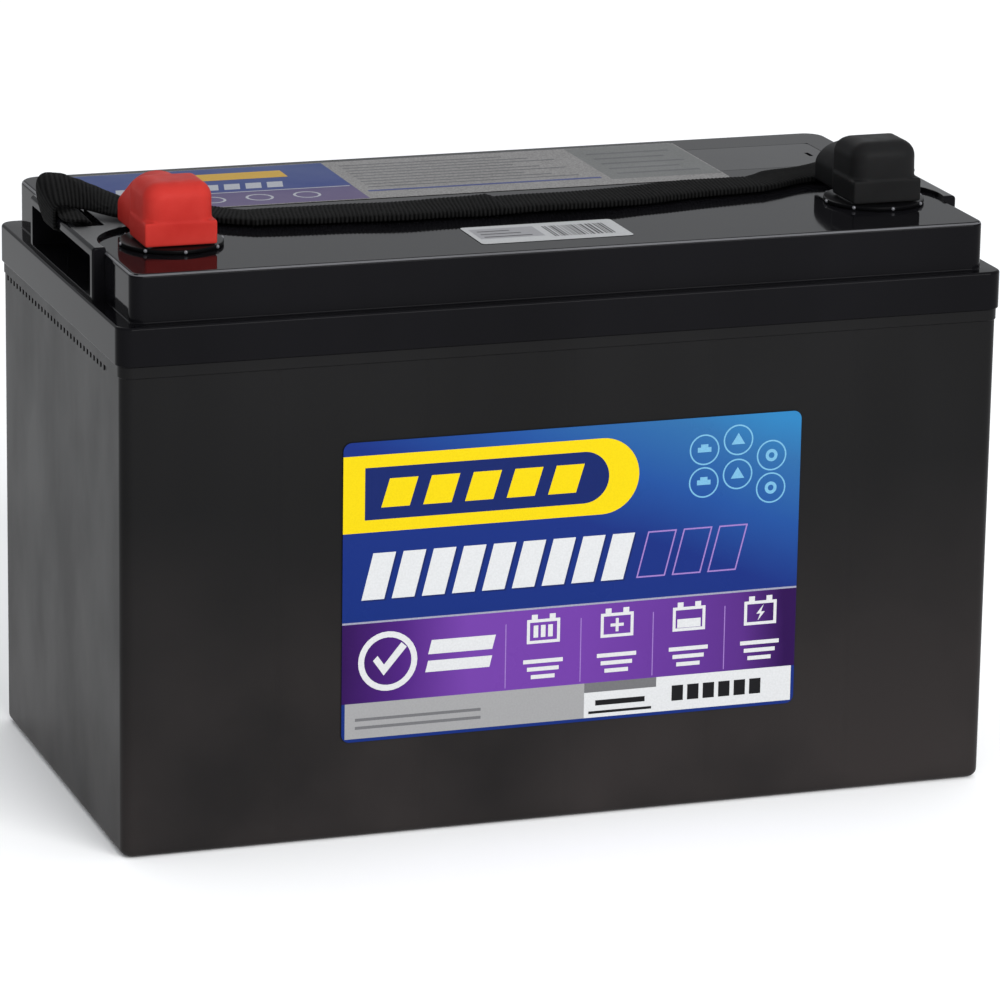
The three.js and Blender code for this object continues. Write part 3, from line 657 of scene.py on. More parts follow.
def make_lid(looks):
    recess_radius, boss, clearance, seat = 26, 13, 8.4, 11.8
    anchors = [combine(anchor_form(side),
                       [drum(recess_radius, LID_TOP, LID_TOP + 5, 96, (side * TERMINAL_X, y))
                        for y in (TERMINAL_Y, -TERMINAL_Y)], "DIFFERENCE") for side in (-1, 1)]
    body = combine(lid_body(), anchors, "UNION")
    body = combine(body, lid_cutters(), "DIFFERENCE")

    additions, holes = [], []
    for side in (-1, 1):
        centre = (side * TERMINAL_X, TERMINAL_Y)
        additions.append(drum(boss, 186.3, LID_TOP - 1, 48, centre))
        holes.append(drum(clearance, 184, LID_TOP + 1, 48, centre))
        holes.append(drum(seat, 207.1, LID_TOP + 2, 48, centre))
    spigot = [(0, 197), (4.5, 197), (4.5, 203.6), (4.1, 204), (0, 204)]
    for x in CELL_CENTRES:
        centre = (x, 43)
        additions.append(turned(spigot, 32, centre))
        holes.append(drum(2, 186, 206, 24, centre))
    body = combine(body, additions, "UNION")
    body = combine(body, holes, "DIFFERENCE")

    def near_anchor(middle):
        return abs(middle.x) > 135 and abs(middle.y) < 47 and middle.z > LID_TOP + 0.8

    def window_rim(middle):
        at_end = abs(abs(middle.x) - ANCHOR_X) < 0.8
        return at_end and abs(middle.y) < 42 and middle.z < PAD_TOP - 2.9

    soften_edges(body, near_anchor, 0.35)
    soften_edges(body, window_rim, 0.3)
    mark_lid_regions(body)
    piece = link_object("lid_shell", to_mesh("lid_shell", body),
                        [looks["lid"], looks["pad"], looks["painted_edge_highlight"]])
    weigh_normals(piece)
    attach(piece, ROOT)
    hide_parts("lid")


# ---- Terminal covers and collars

def cover_outline(half, front, back, corner):
    """The dome's plan: flat in front with round corners, square behind."""
    right = arc(half - corner, front + corner, corner, -90, 0, 10)
    left = arc(corner - half, front + corner, corner, 180, 270, 10)
    return right + [(half, back), (-half, back)] + left


def dome_form(shrink, bottom, top):
    """The cover's dome, its shoulders drawn in by a large round."""
    half, front, back, corner = 12.75 - shrink, -12.85 + shrink, 9.5 - shrink, 6.6 - shrink
    shoulder, slope = 6 - shrink, 0.25
    levels = [(0, bottom), (slope, top - shoulder - 2)]
    levels += [(slope + inset, top - shoulder + height)
               for inset, height in arc_levels(shoulder, 8)]
    rings = []
    for inset, z in levels:
        outline = cover_outline(half - inset, front + inset, back - inset * 0.9,
                                max(corner - inset, 1.5))
        rings.append([(x, y, z) for x, y in outline])
    return loft(rings)


def barrel_form(shrink, bottom, length, edge, droop):
    """The cable exit: an arch run back from the dome, its upper rim cut shorter than its sides.
    edge is the round at its end, and droop how far the end of the arch hangs down."""
    radius, axis = 12.3 - shrink, 219.5
    outline = [(radius, bottom), *arc(0, axis, radius, 0, 180, 36), (-radius, bottom)]
    levels = [(0, length * k / 6) for k in range(6)] + [(0, length - edge)]
    if edge:
        levels += [(inset, length - edge + height) for inset, height in arc_levels(edge, 3)][1:]
    rim_cut = 0.03 if droop else 0.22
    rings = []
    for inset, y in levels:
        factor = (radius - inset) / radius
        ring = []
        for x, z in outline:
            rise = min(max((z - 219) / 8, 0), 1)
            cut = 1 - rim_cut * rise * rise * (3 - 2 * rise)
            high = axis + (z - axis) * factor if z > axis else z
            sag = droop * max(0, (z - axis) / radius) * y / length
            ring.append((x * factor, y * cut, high - sag))
        rings.append(ring)
    return loft(rings)


def make_cover(looks, pole, side, look_name, droop):
    """A soft terminal cover: a square foot, a dome, and a barrel for the cable, all hollow."""
    node = f"{pole}_terminal_cover"
    low, high = span(node)
    half, front, back, foot_top, wall = 13.15, -13.0, 8, 220.5, 1.7
    length, below = high.y - TERMINAL_Y, low.z - 4
    outer = combine(block((-half, front, low.z), (half, back, foot_top), 0.45),
                    [dome_form(0, low.z + 1, high.z),
                     barrel_form(0, 213.1, length - 0.1, 0.8, droop)], "UNION")
    inner = combine(block((-half + wall, front + wall, below),
                          (half - wall, back - wall, foot_top - wall)),
                    [dome_form(wall, below, high.z - wall),
                     barrel_form(wall, below, length + 5, 0, droop)], "UNION")
    shell = combine(outer, [inner], "DIFFERENCE")
    piece = link_object(f"{pole}_cover_skin", to_mesh(node, shell), [looks[look_name]], 60)
    piece.location = Vector((side * TERMINAL_X, TERMINAL_Y, 0)) * MM
    soften_by_remesh(piece, 0.4, 6)
    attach(piece, f"{pole}_cover")
    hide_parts(node)


def soften_by_remesh(piece, voxel, rounds):
    """Melts the hard edges of a joined form into small fillets."""
    remesh = piece.modifiers.new("remesh", "REMESH")
    remesh.mode = "VOXEL"
    remesh.voxel_size = voxel * MM
    remesh.use_smooth_shade = True
    smooth = piece.modifiers.new("smooth", "SMOOTH")
    smooth.factor = 0.5
    smooth.iterations = rounds
    depsgraph = bpy.context.evaluated_depsgraph_get()
    mesh = bpy.data.meshes.new_from_object(piece.evaluated_get(depsgraph))
    material = piece.data.materials[0]
    piece.modifiers.clear()
    piece.data = mesh
    if not mesh.materials:
        mesh.materials.append(material)
    mesh.polygons.foreach_set("use_smooth", [True] * len(mesh.polygons))


def make_collar(looks, pole, side):
    """The dark ring round a terminal, with small round pegs at its edge, light grey as painted
    glints.
    """
    node = f"{pole}_collar"
    low, high = span(node)
    outside, inside, crown, peg_sink, samples, pegs = 18.4, 9.0, 0.45, 0.3, 96, 8
    profile = [(outside - inset, low.z + height) for inset, height in arc_levels(0.3, 3, False)]
    profile += [(outside - inset, high.z - crown + height)
                for inset, height in arc_levels(crown, 4)]
    profile += [(inside + 0.4, high.z), (inside, high.z - 0.4), (inside, low.z)]
    rings = []
    for step in range(samples):
        angle = 2 * pi * step / samples
        rings.append([(r * cos(angle), r * sin(angle), z) for r, z in profile])
    forms = [loft(rings, closed=True)]
    for peg in range(pegs):
        angle = 2 * pi * peg / pegs
        form = turned([(0, 0), (0.6, 0), (0.68, 0.35), (0.6, 0.7), (0.35, 0.92), (0, 1)], 20)
        turn = Matrix.Rotation(angle, 4, "Z") @ Matrix.Rotation(pi / 2, 4, "Y")
        reach = outside - peg_sink
        place = Vector((reach * cos(angle), reach * sin(angle), (low.z + high.z) / 2))
        bmesh.ops.transform(form, matrix=Matrix.Translation(place * MM) @ turn, verts=form.verts)
        # Pegs take the light grey of the painted glints.
        for face in form.faces:
            face.material_index = 1
        forms.append(form)
    piece = link_object(f"{pole}_collar_ring", to_mesh(node, merged(forms)),
                        [looks["collar"], looks["peg"]])
    piece.location = Vector((side * TERMINAL_X, TERMINAL_Y, 0)) * MM
    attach(piece, ROOT)
    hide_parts(node)


# ---- Carry strap

# The strap's left end, from under the bar, round it and on to the grip. Each row has the near
# edge's point, the far edge's point, the thickness, and how far the middle stands proud of a
# straight line between the edges.
STRAP_END = [
    (-163.2, -5.0, 212.85, -163.2, 17, 213.1, 1.4, 0),
    (-160.5, -8.0, 212.95, -160.5, 17.5, 213.3, 1.5, 0.3),
    (-156.8, -8.6, 212.9, -156.8, 18, 213.4, 1.5, 0.3),
    (-154.3, -8.3, 211.7, -154.3, 18.5, 212, 1.4, 0),
    (-153.4, -7.6, 209.4, -153.4, 18.8, 209.4, 1.4, 0),
    (-154.6, -6.4, 207.5, -154.6, 19, 207.5, 1.4, 0),
    (-158.5, -2, 207.2, -158.5, 19.6, 207.2, 1.4, 0),
    (-163.3, 4.4, 207.3, -163.3, 20.2, 207.3, 1.4, 0),
    (-164.1, 4.6, 208.3, -164.1, 20.8, 208.2, 1.4, 0),
    (-164.15, 5, 211.4, -164.15, 25.6, 210.8, 1.5, 0),
    (-164.05, 5, 214.2, -164.15, 30.2, 215.4, 1.5, 0.1),
    (-162.9, 5, 216.0, -163.3, 32.4, 219.6, 1.6, 0.5),
    (-160.3, 5, 215.8, -160.8, 33, 221.5, 1.6, 1.1),
    (-157, 5, 215.0, -156.4, 32, 221.3, 1.6, 1.5),
    (-153.6, 4.4, 214.4, -152.2, 29.6, 220.2, 1.6, 1.6),
    (-150.2, 1.8, 213.8, -147.6, 27, 218.6, 1.7, 1.4),
    (-146.6, -2.6, 213.4, -142.2, 23, 216.6, 1.8, 1),
    (-142, -6.4, 213, -136.6, 18.2, 214.6, 2, 0.6),
    (-136.6, -8, 212.5, -130.6, 14.6, 213.2, 2.2, 0.3),
    (-130.4, -8.4, 212.2, -124.6, 11.4, 212.6, 2.5, 0),
    (-124.4, -8.8, 212.1, -118.4, 9, 212.2, 2.8, 0),
    (-118.4, -10.6, 212.1, -112.6, 6.6, 212.1, 3, 0),
    (-112.4, -14.8, 212.1, -106.4, 3, 212.1, 3, 0),
    (-105.4, -20, 212.1, -101.4, -2.4, 212.1, 3, 0),
    (-98.05, -24.14, 212.1, -97.15, -5.66, 212.1, 3, 0),
]
# The middle of the grip along the lid, its ribs' pitch and lean, and where its lap ends.
GRIP_LINE = [(-97.6, -14.9), (-83, -16.2), (-62, -18.2), (-43, -20.2), (-24, -19.8), (-9, -20.4),
             (13, -20.6), (33, -19.6), (54, -15.6), (76, -11.6), (97.6, -9.2)]
RIB_PITCH = 1.55
RIB_SLANT = 0.15
GRIP_LAP = -7


def catmull(points, t):
    """A smooth value at t, in point spacings, along a list of tuples."""
    i = min(int(t), len(points) - 2)
    u = t - i
    p0, p1 = points[max(i - 1, 0)], points[i]
    p2, p3 = points[i + 1], points[min(i + 2, len(points) - 1)]
    out = []
    for a, b, c, d in zip(p0, p1, p2, p3):
        out.append(0.5 * (2 * b + (c - a) * u + (2 * a - 5 * b + 4 * c - d) * u * u
                          + (3 * b - a - 3 * c + d) * u ** 3))
    return out


def middle_of(station):
    return (Vector(station[:3]) + Vector(station[3:6])) / 2


def dense_stations(stations, spacing):
    """Stations every spacing millimetres along the middle of the strap."""
    made = []
    for i, (before, after) in enumerate(zip(stations, stations[1:])):
        steps = max(1, round((middle_of(after) - middle_of(before)).length / spacing))
        made += [catmull(stations, i + k / steps) for k in range(steps)]
    return made + [stations[-1]]


def gathers(point, share, side):
    """How far the flap's creases and puckers stand up at a point, in millimetres.
    share runs from 0 at the near edge to 1 at the far edge."""
    x, y = point.x * -side, point.y
    if x > -134 or x < -162 or point.z < 213.8:
        return 0.0
    height = 0.0
    for start, slope, size in ((-151.5, 0.2, 0.34), (-148.6, 0.04, 0.3), (-145.9, -0.14, 0.2)):
        away = (x - start - slope * -0.55 * (y - 4)) / (0.8 + share)
        height += size * exp(-away * away) * min(1, 0.3 + share * 1.2)
    near_edge, pucker_x, spread, pitch, size = 0.16, -144.5, 5.5, 2.7, 0.75
    pucker = 0.5 + 0.5 * cos(2 * pi * (x + 0.4 * y) / pitch)
    reach = exp(-(share / near_edge) ** 2) * exp(-((x - pucker_x) / spread) ** 2)
    return height + size * pucker * reach


def strap_piece(name, stations, looks, node, side=0, stretch=None):
    """Webbing through stations, each with its two edges, with fine slanted ribs. side is -1 or 1
    for the ends and 0 for the grip. A piece given stretch is left in place; one without it hangs
    from the grip's body."""
    samples, last = 72, len(stations) - 1
    rings, ribs_map, length = [], [], 0.0
    middles = [middle_of(one) for one in stations]
    for index, station in enumerate(stations):
        thick, crown = station[6], station[7]
        middle = middles[index]
        if index:
            length += (middle - middles[index - 1]).length
        along = (middles[min(index + 1, last)] - middles[max(index - 1, 0)]).normalized()
        across = Vector(station[3:6]) - Vector(station[:3])
        up = along.cross(across.normalized()).normalized()
        folded = min(max((thick - 1.8) / 2.5, 0), 1)
        power = 0.3 + 0.3 * folded
        reach_power = power if folded > 0.02 else 0.55
        ring = []
        for k in range(samples):
            angle = 2 * pi * k / samples
            c, s = cos(angle), sin(angle)
            reach = copysign(abs(c) ** reach_power, c)
            lift = copysign(abs(s) ** power, s)
            slant = length * (-side or 1) - RIB_SLANT * reach * across.length / 2
            rib = 0.5 + 0.5 * cos(2 * pi * slant / RIB_PITCH)
            rib_depth = 0.07 + 0.32 * folded
            height = lift * (thick / 2 - rib_depth * rib) + crown * (1 - reach * reach)
            if side and s > 0:
                height += gathers(middle + across * 0.5 * reach, 0.5 + 0.5 * reach, side)
            edge = 1 - 0.03 * folded * rib * abs(reach)
            ring.append(tuple(middle + across * 0.5 * reach * edge + up * height))
            ribs_map.append((slant * MM, reach * across.length / 2 * MM))
        rings.append(ring)
    mesh = to_mesh(name, loft(rings))
    layer = mesh.uv_layers.new(name="ribs")
    for loop in mesh.loops:
        layer.data[loop.index].uv = ribs_map[loop.vertex_index]
    piece = link_object(name, mesh, [looks["webbing"]], 75)
    if stretch:
        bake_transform(piece)
    else:
        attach(piece, "grip")
    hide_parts(node)


def right_end(left):
    """The left end mirrored, pressed flatter, its inner part drawn back to the grip's right end."""
    shift = GRIP_LINE[-1][1] - GRIP_LINE[0][1]
    flat_from, pressed, flatter_crown = 212.6, 0.36, 0.4
    stations = []
    for x0, y0, z0, x1, y1, z1, thick, crown in reversed(left):
        part = min(max(((x0 + x1) / 2 + 130) / 32.4, 0), 1)
        move = shift * part * part * (3 - 2 * part)
        low, high = [min(z, flat_from) + max(z - flat_from, 0) * pressed for z in (z0, z1)]
        stations.append((-x0, y0 + move, low, -x1, y1 + move, high, thick, crown * flatter_crown))
    return stations


def grip_stations():
    """The grip lies flat on the lid, with a lap where its outer layer ends. Its waves and its
    lap settle to nothing at both ends, where it meets the strap's ends."""
    line = [catmull(GRIP_LINE, k / 12) for k in range(12 * (len(GRIP_LINE) - 1) + 1)]
    half, rest_height, lap_length = GRIP_LINE[-1][0], 212.1, 26
    stations = []
    for index, (x, y) in enumerate(line):
        before, after = line[max(index - 1, 0)], line[min(index + 1, len(line) - 1)]
        slope = (after[1] - before[1]) / (after[0] - before[0])
        settle = 1 - (x / half) ** 4
        out = Vector((-slope * 0.55, 1, 0)).normalized() * (9.25 + 0.9 * settle)
        middle = Vector((x, y + 0.3 * sin(x * 0.19 + 1) * settle,
                         rest_height + 0.12 * sin(x * 0.11) * settle))
        lap = max(0, 1 + (x - GRIP_LAP) / lap_length) if x < GRIP_LAP else 0
        near, far = middle - out, middle + out
        far += Vector((0, 0.8 + 1.4 * lap, 0.5 + 0.7 * lap)) * settle
        near.z += max(0, 0.5 * sin(x * 0.05 + 0.8) * settle)
        thick = 3 + 0.3 * settle + 0.5 * lap * settle
        stations.append((*near, *far, thick, 0.3 * lap * settle))
    for end, shift in ((0, -0.4), (-1, 0.4)):
        x0, y0, z0, x1, *rest = stations[end]
        stations[end] = (x0 + shift, y0, z0, x1 + shift, *rest)
    return stations


def make_strap(looks):
    left = dense_stations(STRAP_END, 0.4)
    strap_piece("strap_left_webbing", left, looks, "strap_left_end", -1,
                ((-0.146, 0.010, 0.2155), (-0.0976, -0.0149, 0.2121)))
    strap_piece("strap_grip_webbing", dense_stations(grip_stations(), 0.36), looks, "strap_grip")
    strap_piece("strap_right_webbing", right_end(left), looks, "strap_right_end", 1,
                ((0.146, 0.010, 0.2155), (0.0976, -0.0092, 0.2121)))


# ---- Labels

# How deep a film's face lies in its CAD label, and how far one ink stands above another.
FILM_SINK = 0.09
INK_STEP = 0.012


class Print:
    """Flat printed shapes on a plane, each a thin patch with its own ink. u runs across the
    label and v up it, in millimetres from its lower left corner."""

    def __init__(self, place):
        self.place = place
        self.form = bmesh.new()
        self.inks = []

    def ink(self, material):
        if material not in self.inks:
            self.inks.append(material)
        return self.inks.index(material)

    def patch(self, points, material, layer=1):
        vertices = [self.form.verts.new(self.place(u, v, layer)) for u, v in points]
        self.form.faces.new(vertices).material_index = self.ink(material)

    def bar(self, u0, v0, u1, v1, material, layer=1, lean=0.0):
        shift = lean * (v1 - v0)
        self.patch([(u0, v0), (u1, v0), (u1 + shift, v1), (u0 + shift, v1)], material, layer)

    def ring(self, u, v, outer, inner, material, layer=1, steps=32, start=0, sweep=360):
        for step in range(steps):
            turns = [radians(start + sweep * k / steps) for k in (step, step + 1)]
            spots = ((inner, turns[0]), (outer, turns[0]), (outer, turns[1]), (inner, turns[1]))
            self.patch([(u + radius * cos(angle), v + radius * sin(angle))
                        for radius, angle in spots], material, layer)

    def frame(self, u0, v0, u1, v1, line, material, layer=1, lean=0.0):
        """A rectangle's outline as four bars."""
        top, step = lean * (v1 - v0 - line), lean * line
        for bar in ((u0, v0, u1, v0 + line), (u0 + top, v1 - line, u1 + top, v1),
                    (u0 + step, v0 + line, u0 + line + step, v1 - line),
                    (u1 - line + step, v0 + line, u1 + step, v1 - line)):
            self.bar(*bar, material, layer, lean)


def label_sheet(printed, width, height, corner, material, thickness):
    """The film that carries the print: a thin plate with round corners."""
    outline = [(x + width / 2, y + height / 2)
               for x, y, _ in rounded_ring(width / 2, height / 2, corner, corner, 0, 6)]
    low = [printed.form.verts.new(printed.place(u, v, 0, -thickness)) for u, v in outline]
    high = [printed.form.verts.new(printed.place(u, v, 0)) for u, v in outline]
    corners = [high, list(reversed(low))]
    for i in range(len(outline)):
        after = (i + 1) % len(outline)
        corners.append([low[i], low[after], high[after], high[i]])
    for one in corners:
        printed.form.faces.new(one).material_index = printed.ink(material)


def finish_label(printed, name, node):
    piece = link_object(name, to_mesh(name, printed.form), printed.inks, None)
    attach(piece, ROOT)
    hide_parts(node)


def battery_icon(printed, u, v, size, white, symbol):
    """A small outlined battery with a sign inside."""
    w, h, line = size, size * 0.72, size * 0.09
    printed.frame(u - w / 2, v - h / 2, u + w / 2, v + h / 2, line, white, 2)
    for side in (-1, 1):
        stud = u + side * w * 0.27
        printed.bar(stud - w * 0.09, v + h / 2, stud + w * 0.09, v + h / 2 + line * 1.6, white, 2)
    if symbol == "level":
        for k in range(3):
            start = u - w * 0.3 + k * w * 0.22
            printed.bar(start, v - h * 0.25, start + w * 0.14, v + h * 0.25, white, 2)
    elif symbol == "plus":
        printed.bar(u - w * 0.2, v - line / 2, u + w * 0.2, v + line / 2, white, 2)
        printed.bar(u - line / 2, v - w * 0.2, u + line / 2, v + w * 0.2, white, 3)
    elif symbol == "bolt":
        flash = ((-0.12, -0.04), (0.1, 0.34), (0.02, 0.04), (0.14, 0.04), (-0.08, -0.34),
                 (0, -0.04))
        printed.patch([(u + w * across, v + h * up) for across, up in flash], white, 2)
    else:
        printed.bar(u - w * 0.36, v - h * 0.36, u + w * 0.36, v, white, 2)


def front_label_inks(low, width, height):
    """The front label's inks. The blue lightens toward its upper right corner, and the purple
    is darkest at both ends."""
    panel = 0.6 * height
    across, up = 0.5 / width, 0.5 / panel
    size = across * across + up * up
    start = Vector((low.x, 0, low.z + 0.4 * height))
    end = start + Vector((across / size, 0, up / size))
    blues = [(0.0, (0.0035, 0.015, 0.108)), (0.52, (0.005, 0.0165, 0.118)),
             (0.7, (0.0085, 0.046, 0.185)), (0.88, (0.0165, 0.085, 0.215)),
             (1.0, (0.0165, 0.125, 0.28))]
    purples = [(0.0, (0.0115, 0.0013, 0.034)), (0.14, (0.04, 0.008, 0.11)),
               (0.3, (0.098, 0.03, 0.215)), (0.55, (0.095, 0.028, 0.21)),
               (0.78, (0.07, 0.02, 0.165)), (0.9, (0.055, 0.015, 0.13)),
               (1.0, (0.015, 0.0022, 0.043))]
    left, right = Vector((low.x, 0, 60)), Vector((low.x + width, 0, 60))
    flat = {
        "yellow": ((0.5, 0.375, 0.002), 0.03), "navy": ((0.004, 0.011, 0.075), 0.03),
        "white": ((0.42, 0.425, 0.43), 0.04), "silver": ((0.2, 0.2, 0.26), 0.08),
        "lilac": ((0.2, 0.12, 0.32), 0.05), "cyan": ((0.11, 0.27, 0.4), 0.05),
        "grey": ((0.21, 0.21, 0.212), 0.03), "dark_grey": ((0.1, 0.1, 0.105), 0.04),
        "ink": ((0.006, 0.006, 0.007), 0.1),
    }
    inks = {name: printed_film(f"front_{name}", *rest) for name, rest in flat.items()}
    inks["blue"] = gradient_film("front_blue", blues, start, end)
    inks["purple"] = gradient_film("front_purple", purples, left, right)
    return inks


def front_label_print(printed, inks, width, height):
    """A blue panel with a yellow bar and gauge, a purple band of signs, and a plain foot."""
    bar, ring = printed.bar, printed.ring
    white, yellow, navy, cyan = inks["white"], inks["yellow"], inks["navy"], inks["cyan"]
    lilac, dark_grey, ink = inks["lilac"], inks["dark_grey"], inks["ink"]
    strip_top, band_top = 0.13 * height, 0.40 * height
    lean = 0.25

    # Purple band, its thin silver edge, and lilac lines between its signs.
    bar(0.02, strip_top, width - 0.02, band_top, inks["purple"])
    bar(0.02, band_top - 0.35, width - 0.02, band_top + 0.35, inks["silver"], 2)
    for share in (0.355, 0.52, 0.68, 0.84):
        middle = share * width
        bar(middle - 0.18, strip_top + 0.8, middle + 0.18, band_top - 5, lilac, 2)

    # Yellow bar with a round end, a navy one on it, and five plain yellow cells.
    top, bottom = height * 0.955, height * 0.70
    middle, radius, margin = (top + bottom) / 2, (top - bottom) / 2, 4.5
    bar(0, bottom, width * 0.56, top, yellow)
    ring(width * 0.56, middle, radius, 0, yellow, 1, 24, -90, 180)
    bar(8, bottom + margin, width * 0.52, top - margin, navy, 2)
    ring(width * 0.52, middle, radius - margin, 0, navy, 2, 24, -90, 180)
    for k in range(5):
        start = 14 + k * 15.5
        bar(start, middle - 5.2, start + 10.5, middle + 5.2, yellow, 3, 0.3)

    # The gauge: full cells in white with a navy shadow, empty ones outlined.
    base, tall = height * 0.475, height * 0.155
    for k in range(9):
        start = 7 + k * 11.2
        bar(start + 0.6, base - 0.6, start + 9.0, base + tall - 0.6, navy, 2, lean)
        bar(start, base, start + 8.4, base + tall, white, 3, lean)
    for k in range(3):
        start = 110 + k * 13.6
        printed.frame(start, base, start + 11, base + tall, 0.55, lilac, 3, lean)

    # Six rings at the top right, each with a simple shape in it.
    for number, (u, v) in enumerate([(0.785, 0.90), (0.86, 0.925), (0.935, 0.865),
                                     (0.785, 0.79), (0.86, 0.81), (0.935, 0.755)]):
        u, v, kind = u * width, v * height - 1, number % 3
        ring(u, v, 5.7, 5.15, cyan, 2)
        if kind == 0:
            bar(u - 2.6, v - 0.9, u + 2.6, v + 0.9, cyan, 2)
            bar(u - 1.4, v + 0.9, u + 1.4, v + 2.0, cyan, 2)
        elif kind == 1:
            printed.patch([(u - 2.6, v - 1.6), (u + 2.6, v - 1.6), (u, v + 2.6)], cyan, 2)
        else:
            ring(u, v, 2.3, 1.1, cyan, 2, 20)

    # On the band: a large tick in a ring, then four battery signs over short caption bars.
    middle = (strip_top + band_top) / 2
    ring(17, middle, 11, 8.8, white, 3)
    tick = ((11.5, 0.5), (15.5, -5.2), (24, 4.8), (22, 6.6), (15.6, -1.2), (13.2, 2.2))
    printed.patch([(u, middle + up) for u, up in tick], white, 4)
    bar(32, middle + 1.2, 56, middle + 6.4, white, 3, lean)
    bar(31, middle - 5.4, 55, middle - 1.2, white, 3, lean)
    for share, symbol in ((0.4375, "level"), (0.6, "plus"), (0.76, "half"), (0.92, "bolt")):
        u = share * width
        battery_icon(printed, u, band_top - 8.6, 12.5, white, symbol)
        for row, length in enumerate((15, 12, 9)):
            v = strip_top + 9.2 - row * 2.9
            bar(u - length / 2, v, u + length / 2, v + 1.5, white, 3)

    # Foot: a grey stretch, a small box and a white panel with plain bars.
    edge, box, panel = 1.2, 0.53 * width, 0.69 * width
    bar(edge, edge, box, strip_top, inks["grey"])
    for row in range(2):
        bar(5, 4.6 + row * 3.0, 52, 5.7 + row * 3.0, dark_grey, 2)
    bar(box, edge, panel, strip_top, white)
    bar(box, strip_top - 3.6, panel, strip_top, dark_grey, 2)
    bar(0.555 * width, 5.6, 0.665 * width, 7.6, ink, 2)
    bar(0.54 * width, 2.6, 0.68 * width, 3.6, ink, 2)
    bar(panel, edge, width - edge, strip_top, white)
    for k in range(6):
        start = 0.725 * width + k * 6
        bar(start, 4.8, start + 4.4, 10.6, ink, 2)


def make_front_label():
    low, high = span("front_label")
    width, height = high.x - low.x, high.z - low.z
    inks = front_label_inks(low, width, height)

    def place(u, v, layer, back=0.0):
        face = low.y + FILM_SINK - INK_STEP * layer - back
        return Vector((low.x + u, face, low.z + v)) * MM

    printed = Print(place)
    label_sheet(printed, width, height, 3, inks["blue"], 0.11)
    front_label_print(printed, inks, width, height)
    finish_label(printed, "front_label_print", "front_label")


def lid_print(node, corner, sheet):
    """A printed sheet in the place of a label on the lid, with its width and height."""
    low, high = span(node)
    width, height = high.x - low.x, high.y - low.y

    def place(u, v, layer, back=0.0):
        face = high.z - FILM_SINK + INK_STEP * layer + back
        return Vector((low.x + u, low.y + v, face)) * MM

    printed = Print(place)
    label_sheet(printed, width, height, corner, sheet, 0.1)
    return printed, width, height


def make_top_label():
    """The label on the lid: a small copy of the front one, a silver panel and a grey panel."""
    finish = (0.45, 1.1)
    stops = [(0.0, (0.075, 0.058, 0.12)), (0.36, (0.06, 0.046, 0.11)),
             (0.42, (0.018, 0.032, 0.13)), (1.0, (0.03, 0.048, 0.135))]
    blue = gradient_film("top_blue", stops, (-100, 12, 0), (-100, 75, 0), *finish)
    silver, grey, text, navy, yellow, white = [
        printed_film(f"top_{name}", colour, spread, *finish) for name, colour, spread in (
            ("silver", (0.155, 0.152, 0.15), 0.25), ("grey", (0.105, 0.108, 0.107), 0.1),
            ("text", (0.075, 0.075, 0.08), 0.1), ("navy", (0.035, 0.045, 0.13), 0.05),
            ("yellow", (0.36, 0.22, 0.03), 0.05), ("white", (0.26, 0.27, 0.3), 0.05))]
    printed, width, height = lid_print("top_label", 2, silver)
    bar = printed.bar
    first, second, edge = 96.5, 193, 0.6
    bar(edge, edge, first, height - edge, blue)
    bar(30, height - 20, 78, height - 9, yellow, 2)
    for k in range(8):
        bar(8 + k * 8.2, 27, 14 + k * 8.2, 36, white, 2, 0.25)
    bar(2, 22, first - 1, 22.9, white, 2)
    for k in range(4):
        printed.ring(22 + k * 18, 12, 5.2, 4.2, white, 2, 20)
    for row in range(9):
        v = 18 + row * 4.6
        bar(first + 5, v, first + 87 - 9 * (row % 3), v + 1.2, text, 2)
    bar(first + 3, 11, second - 3, 13.2, navy, 2)
    bar(second, 8, width - edge, height - edge, grey)
    for row in range(5):
        v = 16 + row * 8.5
        bar(second + 5, v, width - 6 - 5 * (row % 2), v + 2, text, 2)
    finish_label(printed, "top_label_print", "top_label")


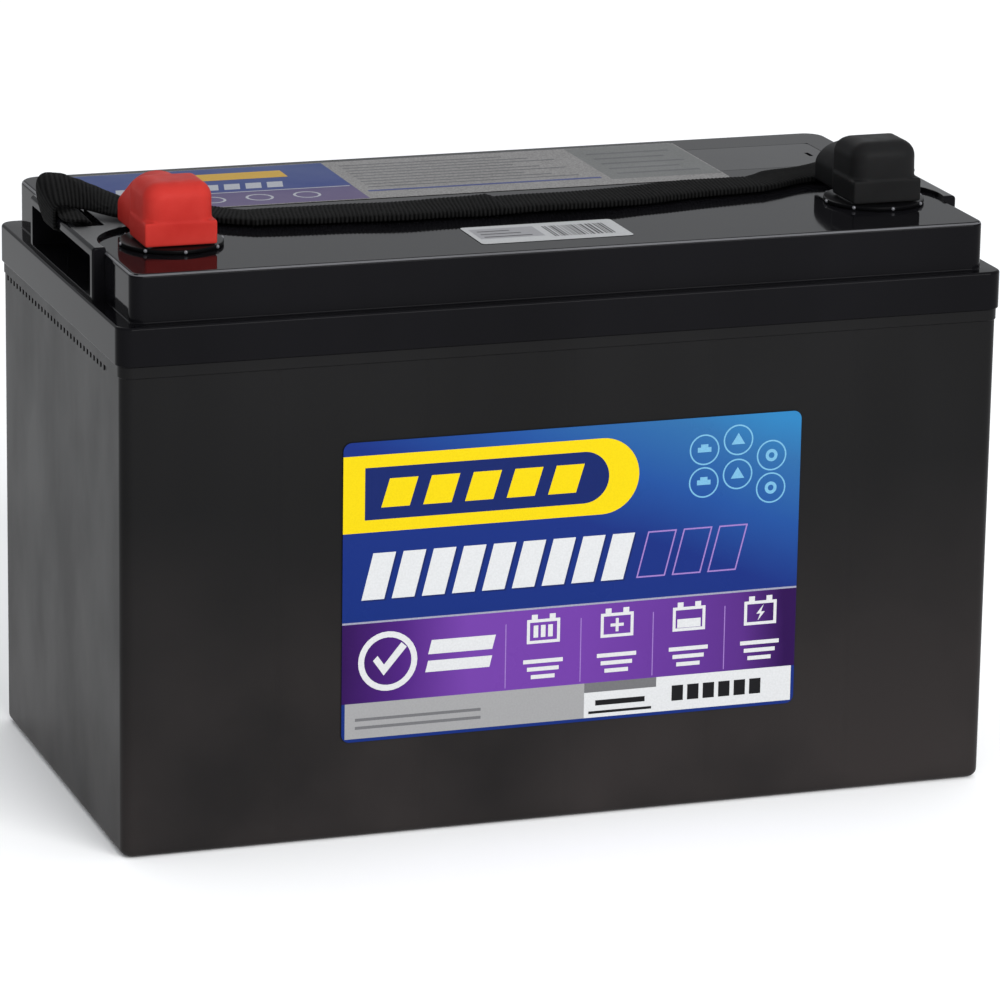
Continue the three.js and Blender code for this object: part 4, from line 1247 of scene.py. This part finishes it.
def make_barcode_label():
    """A white paper label: grey lines at the left and a plain run of bars at the right."""
    paper = printed_film("barcode_paper_face", (0.31, 0.315, 0.32), 0.05, 0.5)
    shade = printed_film("barcode_shade", (0.2, 0.2, 0.21), 0.05, 0.5)
    ink = printed_film("barcode_ink", (0.035, 0.035, 0.038), 0.1, 0.5)
    printed, width, height = lid_print("barcode_label", 1.5, paper)
    printed.bar(2, 7, 26, height - 4, shade)
    for row in range(3):
        printed.bar(4, 9 + row * 4.2, 22 - 3 * row, 10.2 + row * 4.2, ink, 2)
    u = 29.0
    while u < width - 5:
        stripe = random.choice((0.35, 0.6, 0.9))
        printed.bar(u, 5, u + stripe, height - 5, ink)
        u += stripe + random.choice((0.4, 0.65, 0.9))
    finish_label(printed, "barcode_label_print", "barcode_label")


# ---- CAD nodes that stay

def finish_cad_nodes(looks):
    """Materials and small edge rounds for the nodes that show as they are."""
    by_start = {"relief_valve": "valve", "intercell_link": "link_lead", "vent_cover_strip": "strip"}
    by_ending = {
        "_positive_plates": "positive_lead", "_negative_plates": "negative_lead",
        "_separator": "glass_mat", "_terminal": "brass", "_seal": "seal",
        "_flat_washer": "steel", "_spring_washer": "steel", "_bolt": "steel",
    }
    rounds = {"steel": 0.35, "brass": 0.3, "strip": 0.3, "valve": 0.3}
    for name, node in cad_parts.items():
        found = [look for start, look in by_start.items() if name.startswith(start)]
        found += [look for ending, look in by_ending.items() if name.endswith(ending)]
        if not found:
            continue
        node.data.materials.clear()
        node.data.materials.append(looks[found[0]])
        if found[0] in rounds:
            bevel = node.modifiers.new("edge_round", "BEVEL")
            bevel.width = rounds[found[0]] * MM
            bevel.segments = 2
            bevel.limit_method = "ANGLE"
            bevel.angle_limit = radians(40)
            bevel.harden_normals = False


def main():
    make_camera()
    make_floor()
    make_lights()
    looks = make_materials()
    make_case(looks)
    make_lid(looks)
    make_cover(looks, "positive", -1, "red", 0)
    make_cover(looks, "negative", 1, "black", 4.2)
    make_collar(looks, "positive", -1)
    make_collar(looks, "negative", 1)
    make_strap(looks)
    make_front_label()
    make_top_label()
    make_barcode_label()
    finish_cad_nodes(looks)


main()
